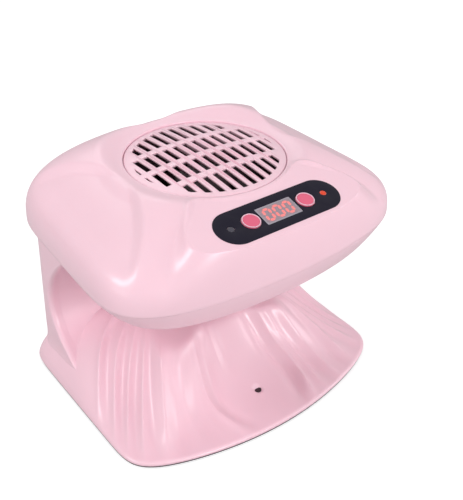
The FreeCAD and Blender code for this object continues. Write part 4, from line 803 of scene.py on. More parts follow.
# ------------------------------------------------------------------------------ the controls
@dataclass
class ControlStrip:
    """The dark oval strip with its window, numerals, buttons and indicators, on the tilted bed.

    In its own plane z is 0 on the bed. An edge is pairs of a step outwards and a height.
    """

    centre: tuple[float, float, float] = BED_CENTRE
    tilt: float = BED_TILT
    length: float = 76.9
    width: float = 22.5
    proud: float = 0.3
    sunk: float = 1.2
    window: tuple[float, float] = (22.1, 11.8)
    window_gap: float = 0.3
    window_corner: float = 0.5
    pane_edge: tuple[tuple[float, float], ...] = ((-0.25, 0.34), (-0.08, 0.31), (0.0, 0.25), (0.0, 0.2))
    button_x: float = 17.5
    button_radius: float = 4.9
    button_gap: float = 0.22
    button_flange: tuple[float, float, float] = (6.2, -2.9, -3.5)
    rim_inset: float = 0.3
    rim_half: float = 0.28
    rim_foot: float = 0.64
    rim_spring: float = 0.74
    rim_rise: float = 0.9
    led_x: float = 29.8
    led_radius: float = 1.75
    led_gap: float = 0.1
    led_flange: tuple[float, float, float] = (2.25, -6.4, -7.4)
    digit: tuple[float, float] = (5.3, 8.9)
    digit_pitch: float = 6.3
    digit_slant: float = 0.08
    digit_levels: tuple[float, float] = (0.15, 0.02)
    bar: float = 1.5
    bar_gaps: tuple[float, float] = (0.5, 0.35)

    def placed(self, local: Array) -> Array:
        """Turns points from the strip's own plane into the model's frame.

        Args:
            local: points with z along the strip's normal.

        Returns:
            The same points, tilted about x and moved to the strip's centre.
        """
        lean = math.radians(self.tilt)
        x, y, z = local[..., 0], local[..., 1], local[..., 2]
        turned_y = y * math.cos(lean) - z * math.sin(lean)
        turned_z = y * math.sin(lean) + z * math.cos(lean)
        return np.stack([x, turned_y, turned_z], -1) + np.array(self.centre)

    def _walls(self, loop: Array, edge: Sequence[tuple[float, float]]) -> Array:
        """Rings round a loop: each is the loop grown outwards by a step and set at a height.

        Args:
            loop: a closed loop in the strip's plane.
            edge: step and height of each ring.

        Returns:
            The rings in the model's frame.
        """
        tangent = np.roll(loop, -1, 0) - np.roll(loop, 1, 0)
        normal = np.stack([tangent[:, 1], -tangent[:, 0]], -1)
        normal /= np.maximum(np.linalg.norm(normal, axis=1, keepdims=True), 1e-9)
        rings = [np.column_stack([loop + normal * step, np.full(len(loop), height)]) for step, height in edge]
        return self.placed(np.stack(rings))

    def strip(self) -> Piece:
        """The oval plate: a rounded outer edge, and rounded rims at every opening.

        Returns:
            The piece.
        """
        up, down = self.proud, -self.sunk
        oval = rounded_loop(self.length, self.width, self.width / 2 - 0.01, 24)
        outer = self._walls(oval, [(-0.45, up), (-0.13, up - 0.06), (0.0, up - 0.3), (0.0, down)])
        loops = [rounded_loop(self.window[0] + self.window_gap, self.window[1] + self.window_gap, 0.6, 6)]
        turn = np.linspace(0.0, math.tau, 48, endpoint=False)
        circle = np.stack([np.cos(turn), np.sin(turn)], -1)
        for side in (-1, 1):
            loops.append(circle * (self.button_radius + self.button_gap) + [side * self.button_x, 0.0])
            loops.append(circle * (self.led_radius + self.led_gap) + [side * self.led_x, 0.0])
        edge = [(0.2, up), (0.05, up - 0.05), (0.0, up - 0.2), (0.0, down)]
        walls = [outer] + [self._walls(loop, edge) for loop in loops]
        patches = [Patch(wall) for wall in walls]
        fills = [[wall[0] for wall in walls], [wall[-1] for wall in walls]]
        return Piece("control_strip", patches, "dryer", ("control_panel",), "panel_black", fills=fills)

    def pane(self) -> Piece:
        """The clear window, a thin plate with a rounded rim that lies level with the strip.

        Returns:
            The piece.
        """
        rings = self._walls(rounded_loop(*self.window, self.window_corner, 6), self.pane_edge)
        fills = [[rings[0]], [rings[-1]]]
        return Piece(
            "display_pane", [Patch(rings)], "dryer", ("display_window",), "window_smoke", fills=fills
        )

    def display_plates(self) -> list[Piece]:
        """The display's face under the window: a pale frame with a greyer field inside it.

        Returns:
            The frame and the field.
        """
        plates = []
        for name, margin, level, finish in (
            ("display_frame", 0.1, 0.05, "display_frame"),
            ("display_field", -1.3, 0.08, "display_case"),
        ):
            loop = rounded_loop(self.window[0] + margin, self.window[1] + margin, 0.4, 6)
            rings = self._walls(loop, [(-0.04, level), (0.0, level - 0.02), (0.0, -0.3)])
            fills = [[rings[0]], [rings[-1]]]
            plate = Piece(name, [Patch(rings)], "dryer", (), finish, fills=fills, slot="display_case")
            plates.append(plate)
        return plates

    def numerals(self) -> Piece:
        """Three noughts, each of six slanted bars with pointed ends.

        Returns:
            The piece.
        """
        width, height = self.digit[0] - self.bar, self.digit[1] - self.bar
        level_gap, upright_gap = self.bar_gaps
        bars = []
        for number in (-1, 0, 1):
            middle = number * self.digit_pitch
            for level in (-1, 1):
                bars.append(self._bar((middle, level * height / 2), width - level_gap, 0.0))
                for side in (-1, 1):
                    spot = (middle + side * width / 2, level * height / 4)
                    bars.append(self._bar(spot, height / 2 - upright_gap, 90.0))
        fills = [[ring] for rings in bars for ring in (rings[0], rings[-1])]
        patches = [Patch(rings) for rings in bars]
        return Piece("display_numerals", patches, "dryer", ("display_digits",), "digit_red", fills=fills)

    def _bar(self, spot: tuple[float, float], length: float, turn: float) -> Array:
        """One bar of a nought: a slim hexagon with a little thickness.

        Args:
            spot: middle of the bar in the strip's plane.
            length: length of the bar.
            turn: 0 for a level bar, 90 for an upright one.

        Returns:
            The bar's upper and lower ring.
        """
        half, wide = length / 2, self.bar / 2
        tip = half - wide
        shape = np.array([(half, 0), (tip, wide), (-tip, wide), (-half, 0), (-tip, -wide), (tip, -wide)])
        angle = math.radians(turn)
        spin = np.array([[math.cos(angle), math.sin(angle)], [-math.sin(angle), math.cos(angle)]])
        shape = shape @ spin + np.array(spot)
        shape[:, 0] += shape[:, 1] * self.digit_slant
        rings = [np.column_stack([shape, np.full(len(shape), level)]) for level in self.digit_levels]
        return self.placed(np.stack(rings))

    def _turned(self, profile: Sequence[tuple[float, float]], x: float, steps: int) -> Patch:
        """A profile turned round the strip's normal, at a place along the strip."""
        return Patch(self.placed(turned(profile, (x, 0.0, 0.0), UP, steps).points))

    def button(self, side: int, name: str, node: str, body: str) -> Piece:
        """A round cap with a softly domed top, a step for its rim and a flange below the bed.

        Args:
            side: -1 for the left button, 1 for the right one.
            name: name of the piece.
            node: the CAD node it stands for.
            body: the body it rides on.

        Returns:
            The button.
        """
        radius = self.button_radius
        flange, flange_top, foot = self.button_flange
        dome = [(0.0, 0.86), (1.4, 0.86), (2.8, 0.84), (3.7, 0.80), (4.1, 0.75), (4.3, 0.68)]
        step = [(4.35, 0.62), (4.7, 0.62), (radius, 0.5)]
        shank = [(radius, flange_top), (flange, flange_top), (flange, foot), (0.0, foot)]
        patch = self._turned(dome + step + shank, side * self.button_x, 64)
        return Piece(name, [patch], body, (node,), "button_pink")

    def rim(self, side: int, name: str, body: str) -> Piece:
        """The pale ring round a button's cap, half round on top; it goes down with the button.

        Args:
            side: -1 for the left button, 1 for the right one.
            name: name of the piece.
            body: the body it rides on.

        Returns:
            The ring.
        """
        middle, half = self.button_radius - self.rim_inset, self.rim_half
        section = [(middle - half, self.rim_foot)]
        for lean in np.linspace(0.0, math.pi, 9):
            height = self.rim_spring + self.rim_rise * half * math.sin(lean)
            section.append((middle - half * math.cos(lean), height))
        section += [(middle + half, self.rim_foot), (middle - half, self.rim_foot)]
        patch = self._turned(section, side * self.button_x, 64)
        return Piece(name, [patch], body, (), "rim_pale", slot="button_pink")

    def indicator(self, side: int, name: str, node: str, finish: str) -> Piece:
        """A small domed lens in its hole, with a flange below the bed.

        Args:
            side: -1 for the left indicator, 1 for the right one.
            name: name of the piece.
            node: the CAD node it stands for.
            finish: slot of its finish.

        Returns:
            The indicator.
        """
        radius = self.led_radius
        flange, flange_top, foot = self.led_flange
        lens = [(0.0, 0.62), (0.5, 0.60), (1.0, 0.52), (1.4, 0.38), (1.65, 0.2), (radius, 0.0)]
        shank = [(radius, flange_top), (flange, flange_top), (flange, foot), (0.0, foot)]
        return Piece(name, [self._turned(lens + shank, side * self.led_x, 32)], "dryer", (node,), finish)

    def pieces(self) -> list[Piece]:
        """Everything on the strip.

        Returns:
            The pieces, in the order in which they are built.
        """
        return [
            self.strip(),
            self.pane(),
            *self.display_plates(),
            self.numerals(),
            self.rim(-1, "left_button_rim", "time_key"),
            self.rim(1, "right_button_rim", "mode_key"),
            self.button(-1, "left_button", "time_button", "time_key"),
            self.button(1, "right_button", "mode_button", "mode_key"),
            self.indicator(-1, "left_indicator", "indicator_led_left", "led_grey"),
            self.indicator(1, "right_indicator", "indicator_led_right", "led_red"),
        ]


# ------------------------------------------------------------------------------ base and column
@dataclass(frozen=True)
class Fold:
    """One fold of the hand rest, fanning out from a point at the rear.

    Start and end are its direction at the top and at the edge, in degrees. Left and right are its
    strength on either side of the rest, width is its half width in degrees, and reach is where it
    begins and ends between the middle of the rest, 0, and the edge, 1.
    """

    start: float
    end: float
    left: float
    right: float
    width: float
    reach: tuple[float, float] = (0.25, 1.02)


@dataclass
class HandRest:
    """The draped rest: a flat top, a skirt that flares to the front, firm sides and folds.

    The spans are ranges of the cosine between a direction and straight ahead.
    """

    edge: float = 4.5
    top: float = 36.7
    centre_y: float = 15.0
    shoulder: float = 13.0
    front_shoulder: float = 0.5
    shoulder_power: int = 12
    shoulder_span: tuple[float, float] = (-0.1, 0.65)
    rear_flat: float = 0.56
    side_loss: float = 0.06
    side_span: tuple[float, float] = (-0.15, 0.5)
    front_loss: float = 0.165
    front_span: tuple[float, float] = (0.7, 0.93)
    power_span: tuple[float, float] = (0.0, 0.65)
    softness: float = 3.0
    ceiling: float = 90.0
    origin_y: float = 60.0
    depth: float = 3.0
    crest_fall: float = 1.1
    crest_power: float = 1.15
    valley: float = 0.6
    valley_place: float = 1.7
    turn_span: tuple[float, float] = (0.62, 1.05)
    fade_in: float = 0.3
    fade_out: float = 0.22
    lip: tuple[float, float] = (0.022, 1.4)
    lower_edge: tuple[tuple[float, float], ...] = ((0.0, 2.7), (0.12, 2.25), (0.45, 2.0), (2.4, 2.0))
    sensor_y: float = -50.9
    sensor_radius: float = 2.45
    dimple: float = 0.9
    columns: int = 640
    rows: int = 120
    folds: tuple[Fold, ...] = (
        Fold(57.2, 49.0, 1.0, 1.0, 2.2),
        Fold(48.2, 43.0, 0.9, 0.9, 1.7),
        Fold(42.0, 39.4, 0.8, 0.5, 1.5),
        Fold(36.8, 35.4, 0.8, 0.6, 1.5),
        Fold(30.2, 30.2, 1.15, 0.0, 2.0),
        Fold(31.6, 28.2, 0.0, 0.9, 1.7),
        Fold(24.0, 21.2, 0.15, 0.7, 1.7),
        Fold(19.0, 15.2, 0.15, 0.6, 1.5),
        Fold(16.6, 10.6, 0.9, 1.2, 2.0),
        Fold(8.0, 5.0, 0.45, 0.0, 1.6, (0.2, 0.62)),
        Fold(11.3, 11.6, 0.0, 0.5, 1.3, (0.3, 0.62)),
    )

    def relief(self, x: Array, y: Array, share: Array) -> Array:
        """Height of the folds.

        A fold's own direction turns from its start to its end towards the edge. Across it, the height
        is a sharp crest, exp(-fall times distance to the crest power) with the distance in widths, less
        a shallower valley beside it on the inner side. It grows from the top and dies out before the edge.

        Args:
            x: across.
            y: along.
            share: 0 in the middle of the rest and 1 at its edge.

        Returns:
            The height that the folds add at each point.
        """
        turn = np.degrees(np.arctan2(np.abs(x), self.origin_y - y))
        height = np.zeros_like(x)
        for fold in self.folds:
            middle = fold.start + (fold.end - fold.start) * smooth(share, *self.turn_span)
            away = (turn - middle) / fold.width
            crest = np.exp(-self.crest_fall * np.abs(away) ** self.crest_power)
            crest = crest - self.valley * np.exp(-((away + self.valley_place) ** 2))
            low, high = fold.reach
            fade = smooth(share, low, low + self.fade_in) * (1.0 - smooth(share, high - self.fade_out, high))
            height = height + np.where(x < 0.0, fold.left, fold.right) * crest * fade
        return self.depth * height

    def height(self, x: Array, y: Array, share: Array) -> Array:
        """Height of the rest.

        The edge's height, plus a shoulder times (1 - share to the shoulder power), plus the skirt,
        ((1 - share) / (1 - flat)) to a power, plus the folds, all softly held down to the flat top. The
        power goes from 1 at the rear to 3 at the front, and the flat share gets smaller on the way. The
        outermost part rolls down as a quarter ellipse.

        Args:
            x: across.
            y: along.
            share: 0 in the middle of the rest and 1 at its edge.

        Returns:
            The height of each point.
        """
        ahead = -(y - self.centre_y) / np.maximum(np.hypot(x, y - self.centre_y), 1e-6)
        frontal = smooth(ahead, *self.front_span)
        power = 1.0 + smooth(ahead, *self.power_span) + frontal
        flat = self.rear_flat - self.side_loss * smooth(ahead, *self.side_span) - self.front_loss * frontal
        behind = 1.0 - smooth(ahead, *self.shoulder_span)
        shoulder = self.front_shoulder + (self.shoulder - self.front_shoulder) * behind
        skirt = (np.maximum(0.0, 1.0 - share) / (1.0 - flat)) ** power
        z = self.edge + shoulder * (1.0 - share**self.shoulder_power)
        z = z + (self.top - self.edge - shoulder) * skirt + self.relief(x, y, share)
        roll = np.clip((share - 1.0 + self.lip[0]) / self.lip[0], 0.0, 1.0)
        z = z - self.lip[1] * (1.0 - np.sqrt(1.0 - roll**2))
        soft = self.softness
        return -soft * np.log(np.exp(-np.minimum(z, self.ceiling) / soft) + math.exp(-self.top / soft))

    def piece(self) -> Piece:
        """The rest as rings of shares round its middle, then a rounded lip down to its lower edge.

        Returns:
            The piece.
        """
        angle = BASE_PLAN.even_angles(self.columns)
        rim_x, rim_y = BASE_PLAN.points(angle)
        share = np.sin(np.linspace(0.0, math.pi / 2, self.rows))
        x = rim_x[None, :] * share[:, None]
        y = self.centre_y + (rim_y - self.centre_y)[None, :] * share[:, None]
        z = self.height(x, y, np.broadcast_to(share[:, None], x.shape))
        rest = np.stack([x, y, self._sensor_dimple(x, y, z)], -1)
        edge = [BASE_PLAN.ring(angle, inset, level) for inset, level in self.lower_edge]
        patch = Patch(np.concatenate([rest, np.stack(edge)]))
        return Piece("hand_rest", [patch], "dryer", ("base_shell",), "pink_shell", crease=60.0)

    def _sensor_dimple(self, x: Array, y: Array, z: Array) -> Array:
        """Sinks the surface a little round the hand sensor.

        Args:
            x: across.
            y: along.
            z: height without the dimple.

        Returns:
            Height with the dimple.
        """
        away = np.hypot(x, y - self.sensor_y)
        flank = smooth(away, self.sensor_radius - self.dimple, self.sensor_radius + self.dimple)
        return z - self.dimple * (1.0 - flank)


@dataclass
class Column:
    """The hollow column: an upright U of side and rear faces, closed by a front that curves with height."""

    half_width: float = 80.5
    draft: tuple[float, float] = (0.9, 1.4)
    draft_span: tuple[float, float] = (27.0, 91.0)
    rear: float = 70.9
    corner: float = 22.0
    cover_edge: float = 2.0
    cover_recess: float = 13.0
    deepest: tuple[float, float] = (45.7, 52.0)
    top_reach: float = 26.4
    top_span: float = 39.0
    top_power: float = 1.86
    foot_reach: float = 26.7
    foot_span: float = 35.0
    foot_power: float = 2.3
    top: float = 101.0
    foot: float = 2.2
    edge_radius: float = 2.6
    edge_sink: tuple[float, float] = (4.5, 1.0)
    flare: tuple[float, float] = (5.0, 1.6)
    flare_span: tuple[float, float] = (8.6, 24.0)
    flare_start: tuple[float, float] = (14.0, 30.0)
    foot_zone: float = 26.0
    foot_levels: int = 44
    upper_levels: int = 77
    side_steps: int = 44
    arc_steps: int = 16
    across_steps: int = 12

    def front(self, z: Array) -> Array:
        """How far back the front face lies at a height.

        It lies deepest at one height. From there it comes forwards by a reach times
        (distance / span) to a power, with one reach, span and power above and others below.

        Args:
            z: heights.

        Returns:
            The y of the front face at each height.
        """
        back, middle = self.deepest
        above = np.maximum(z - middle, 0.0) / self.top_span
        below = np.maximum(middle - z, 0.0) / self.foot_span
        return back - self.top_reach * above**self.top_power - self.foot_reach * below**self.foot_power

    def _half_loop(self, half: Array, front: Array) -> tuple[Array, Array]:
        """The left half of the plan at each level, from the middle of the rear to the middle of the front.

        It has six stretches: rear face, rounded corner, side face, rounded front edge, the front face's
        sunk margin, and the rest of the front face. Each gives x, y, and how far a point follows the
        flare outwards and rearwards.

        Args:
            half: half width at each level.
            front: place of the front face at each level.

        Returns:
            Points and their share of the foot's flare, both levels by points by two.
        """
        half, front = half[:, None], front[:, None]
        lean = np.linspace(0.0, math.pi / 2, self.arc_steps)
        share = np.linspace(0.0, 1.0, self.side_steps)
        far = np.linspace(0.0, 1.0, self.across_steps + 1)[1:]
        arc_y = self.rear - self.corner
        radius, edge_y = self.edge_radius, front + self.edge_radius
        sink_width, sink = self.edge_sink
        inner_x = -half + (radius + sink_width * share[-1:])
        sine, cosine = np.sin(lean), np.cos(lean)
        stretches = (
            (-(half - self.corner) * share[:-1], self.rear, 0.0, 1.0),
            (-(half - self.corner) - self.corner * sine, arc_y + self.corner * cosine, sine, cosine),
            (-half, arc_y + (edge_y - self.rear + self.corner) * share[1:], 1.0, 0.0),
            (-half + radius * (1.0 - cosine[1:]), edge_y - radius * sine[1:], cosine[1:], 0.0),
            (-half + (radius + sink_width * share[1:]), front + sink * smooth(share[1:], 0.0, 1.0), 0.0, 0.0),
            (inner_x * (1.0 - far), front + sink, 0.0, 0.0),
        )
        loop = np.concatenate([np.stack(np.broadcast_arrays(*stretch), -1) for stretch in stretches], axis=1)
        return loop[..., :2], loop[..., 2:] * np.array([-self.flare[0], self.flare[1]])

    def piece(self) -> Piece:
        """The column as closed loops, one per level, with both ends filled.

        The half width falls by the draft from the foot to the top. Near the foot the outside swells by
        the flare times 1 - sqrt(1 - t squared), t going from 0 at the top of the flare's span to 1 at its
        bottom. Behind the rear cover the rear face is sunk, so that the cover's screws and the mains
        socket stay clear.

        Returns:
            The piece.
        """
        foot = np.linspace(self.foot, self.foot_zone, self.foot_levels)[:-1]
        rise = np.concatenate([foot, np.linspace(self.foot_zone, self.top, self.upper_levels)])
        low, top = self.draft_span
        drawn = np.clip((rise - low) / (top - low), 0.0, 1.0)
        half = self.half_width + self.draft[1] - (self.draft[0] + self.draft[1]) * drawn
        half_loop, flare = self._half_loop(half, self.front(rise))
        low, top = self.flare_span
        swell = 1.0 - np.sqrt(1.0 - np.clip((top - rise) / (top - low), 0.0, 1.0) ** 2)
        near = smooth(half_loop[..., 1], *self.flare_start)
        half_loop = half_loop + flare * (swell[:, None] * near)[..., None]
        other = half_loop[:, -2:0:-1] * np.array([-1.0, 1.0])
        loop = np.concatenate([half_loop, other], axis=1)
        level = np.broadcast_to(rise[:, None, None], (*loop.shape[:2], 1))
        points = np.concatenate([loop, level], -1)
        (left, _, low), (right, _, high) = (np.array(corner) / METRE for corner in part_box("rear_cover"))
        x, y, z = points[..., 0], points[..., 1], points[..., 2]
        behind = (y > self.rear - 0.5) & (x > left + self.cover_edge) & (x < right - self.cover_edge)
        behind &= (z > low + self.cover_edge) & (z < high - self.cover_edge)
        points[..., 1] = y - self.cover_recess * behind
        fills = [[points[0]], [points[-1]]]
        return Piece("column", [Patch(points)], "dryer", (), "pink_shell", crease=50.0, fills=fills)


@dataclass
class ScrewSet:
    """Screws with a domed head and a cross recess.

    The recess's flank and end are ranges of the distance from an arm's middle line and from the axis,
    over which its depth goes to nothing.
    """

    name: str
    node: str
    places: tuple[tuple[float, float, float], ...]
    axis: tuple[float, float, float]
    length: float
    shank_radius: float = 1.5
    head_radius: float = 2.8
    head_side: float = 0.9
    crown_radius: float = 2.6
    crown_foot: float = 1.25
    crown_rise: float = 0.35
    recess: float = 0.8
    recess_flank: tuple[float, float] = (0.26, 0.42)
    recess_end: tuple[float, float] = (1.45, 1.7)
    rings: int = 22
    steps: int = 40

    def piece(self) -> Piece:
        """All screws of the set in one piece; each place is the seat under the head.

        Returns:
            The piece.
        """
        axis = np.array(self.axis)
        shank = [(0.0, -self.length), (self.shank_radius, -self.length), (self.shank_radius, 0.0)]
        head = [(self.head_radius, 0.0), (self.head_radius, self.head_side)]
        head.append((self.crown_radius, self.crown_foot))
        patches = []
        for place in self.places:
            patches.append(turned(shank + head, place, axis, self.steps))
            patches.append(self._crown(np.array(place), axis))
        return Piece(self.name, patches, "dryer", (self.node,), "steel", crease=30.0)

    def _crown(self, place: Array, axis: Array) -> Patch:
        """The top of the head: a shallow dome, sunk near the two arms of the cross.

        Args:
            place: the seat under the head.
            axis: unit vector of the screw's axis.

        Returns:
            The crown, as rings from its rim to its middle.
        """
        profile = [(radius, 0.0) for radius in np.linspace(self.crown_radius, 0.0, self.rings)]
        rings = turned(profile, (0.0, 0.0, 0.0), axis, self.steps).points
        side, other = side_vectors(axis)
        across, along = rings @ side, rings @ other
        radius = np.hypot(across, along)
        arm = np.minimum(np.abs(across), np.abs(along))
        sunk = self.recess * (1.0 - smooth(arm, *self.recess_flank))
        sunk = sunk * (1.0 - smooth(radius, *self.recess_end))
        height = self.crown_foot + self.crown_rise * (1.0 - (radius / self.crown_radius) ** 2) - sunk
        return Patch(rings + place + height[..., None] * axis)


@dataclass
class Fan:
    """The bladed rotor below the inlet.

    The pitch is the blade's angle at the hub and at the tip. The half chord is its half width at the
    widest place, how fast it narrows away from there, and that place as a share of the blade.
    """

    centre_y: float = INLET_Y
    base: float = 113.9
    hub_radius: float = 17.0
    hub_height: float = 14.0
    hub_wall: float = 1.5
    tip: float = 37.4
    root_sink: float = 0.6
    blade_level: float = 7.0
    blades: int = 7
    pitch: tuple[float, float] = (44.0, 30.0)
    half_chord: tuple[float, float, float] = (6.6, 0.5, 0.6)
    thickness: float = 0.62
    sharpness: float = 0.55
    bow: float = 1.1
    sections: int = 14
    section_points: int = 24

    def rotor(self) -> Piece:
        """A hub with a rounded edge and twisted blades.

        Returns:
            The piece.
        """
        radius, height, wall = self.hub_radius, self.hub_height, self.hub_wall
        face = [(0.0, height), (3.0, height), (3.2, height - 0.2), (13.5, height - 0.1)]
        edge = [(radius - 1.2, height - 0.4), (radius - 0.3, height - 1.2), (radius, height - 2.4)]
        inside = [(radius, 0.0), (radius - wall, 0.0), (radius - wall, height - wall), (0.0, height - wall)]
        patches = [turned(face + edge + inside, (0.0, self.centre_y, self.base), UP, 96)]
        patches += [self._blade(math.tau * number / self.blades) for number in range(self.blades)]
        # the rotor's maroon black carries painted bounce light from the pink head
        return Piece("rotor", patches, "fan", ("fan_rotor",), "part_black", crease=40.0)

    def _blade(self, turn: float) -> Patch:
        """One blade as closed sections from the hub to the tip.

        A section is a slim bow: its middle line is a parabola, and its thickness goes with the sine of
        the way round it and falls towards both edges. It is turned by the pitch and laid round the axis.

        Args:
            turn: the blade's direction, in radians.

        Returns:
            The blade, with both ends drawn together.
        """
        run = np.linspace(0.0, 1.0, self.sections)
        radius = np.linspace(self.hub_radius - self.root_sink, self.tip, self.sections)
        pitch = np.radians(np.linspace(*self.pitch, self.sections))
        widest, narrowing, place = self.half_chord
        half = widest - narrowing * np.abs(run - place)
        around = np.linspace(0.0, math.tau, self.section_points, endpoint=False)[None, :]
        across = np.cos(around) * half[:, None]
        thick = self.thickness * np.sin(around) * (1.0 - self.sharpness * np.cos(around) ** 2)
        height = thick + self.bow * (1.0 - (across / half[:, None]) ** 2)
        side = across * np.cos(pitch)[:, None] - height * np.sin(pitch)[:, None]
        up = across * np.sin(pitch)[:, None] + height * np.cos(pitch)[:, None]
        reach = np.sqrt(np.maximum(radius[:, None] ** 2 - side**2, 1.0))
        x = reach * math.cos(turn) - side * math.sin(turn)
        y = reach * math.sin(turn) + side * math.cos(turn)
        sections = np.stack([x, y + self.centre_y, up + self.base + self.blade_level], -1)
        root = np.broadcast_to(sections[:1].mean(1, keepdims=True), sections[:1].shape)
        tip = np.broadcast_to(sections[-1:].mean(1, keepdims=True), sections[-1:].shape)
        return Patch(np.concatenate([root, sections, tip]))


@dataclass
class BottomPlateAndShadeLine:
    """The dark plate that closes the base. It is set out almost to the base's edge and below the shell, so
    its dark rim also paints the shade under the base's lip as a thin dark line.
    """

    inset: float = 0.4
    bottom: float = 0.9
    top: float = 1.98
    margin: float = 0.8
    bevel: tuple[float, float] = (0.15, 0.2)
    columns: int = 360

    def piece(self) -> Piece:
        """Rings round the base's plan, from the plate's top to its underside, with both faces filled.

        Returns:
            The piece.
        """
        angle = BASE_PLAN.even_angles(self.columns)
        inwards, rise = self.bevel
        edge = ((self.margin, self.top), (0.0, self.top), (0.0, self.bottom + rise), (inwards, self.bottom))
        rings = [BASE_PLAN.ring(angle, self.inset + inset, height) for inset, height in edge]
        fills = [[rings[0]], [rings[-1]]]
        patch = Patch(np.stack(rings))
        return Piece("bottom_cover_and_painted_shade", [patch], "dryer", ("bottom_plate",), "plate_dark", fills=fills)


@dataclass
class Feet:
    """Four soft feet with a rounded edge, a shallow hollow in the middle and a groove round it."""

    places: tuple[tuple[float, float], ...] = ((-62.0, -38.0), (62.0, -38.0), (-62.0, 56.0), (62.0, 56.0))
    radius: float = 7.0
    height: float = 2.0
    groove: float = 0.25

    def piece(self) -> Piece:
        """All four feet in one piece.

        Returns:
            The piece.
        """
        sole = [(0.0, self.groove), (2.6, self.groove), (2.8, 0.0), (4.0, 0.0), (4.2, self.groove)]
        sole += [(4.6, self.groove), (4.8, 0.0)]
        side = [(self.radius - 0.6, 0.0), (self.radius - 0.2, 0.15), (self.radius, 0.5)]
        profile = [*sole, *side, (self.radius, self.height), (0.0, self.height)]
        patches = [turned(profile, (x, y, 0.0), UP, 48) for x, y in self.places]
        return Piece("soft_feet", patches, "dryer", ("rubber_feet",), "rubber_grey")


# ------------------------------------------------------------------------------ light and camera
@dataclass(frozen=True)
class Lamp:
    """A soft rectangular lamp: place, aim and size in metres, power in watts."""

    name: str
    place: tuple[float, float, float]
    aim: tuple[float, float, float]
    size: tuple[float, float]
    power: float

    def build(self) -> None:
        """Hangs the lamp at its place, turned to its aim."""
        data = bpy.data.lights.new(self.name, "AREA")
        data.shape = "RECTANGLE"
        data.size, data.size_y = self.size
        data.energy = self.power
        thing = bpy.data.objects.new(self.name, data)
        thing.location = self.place
        thing.rotation_euler = (Vector(self.aim) - Vector(self.place)).to_track_quat("-Z", "Y").to_euler()
        bpy.context.scene.collection.objects.link(thing)


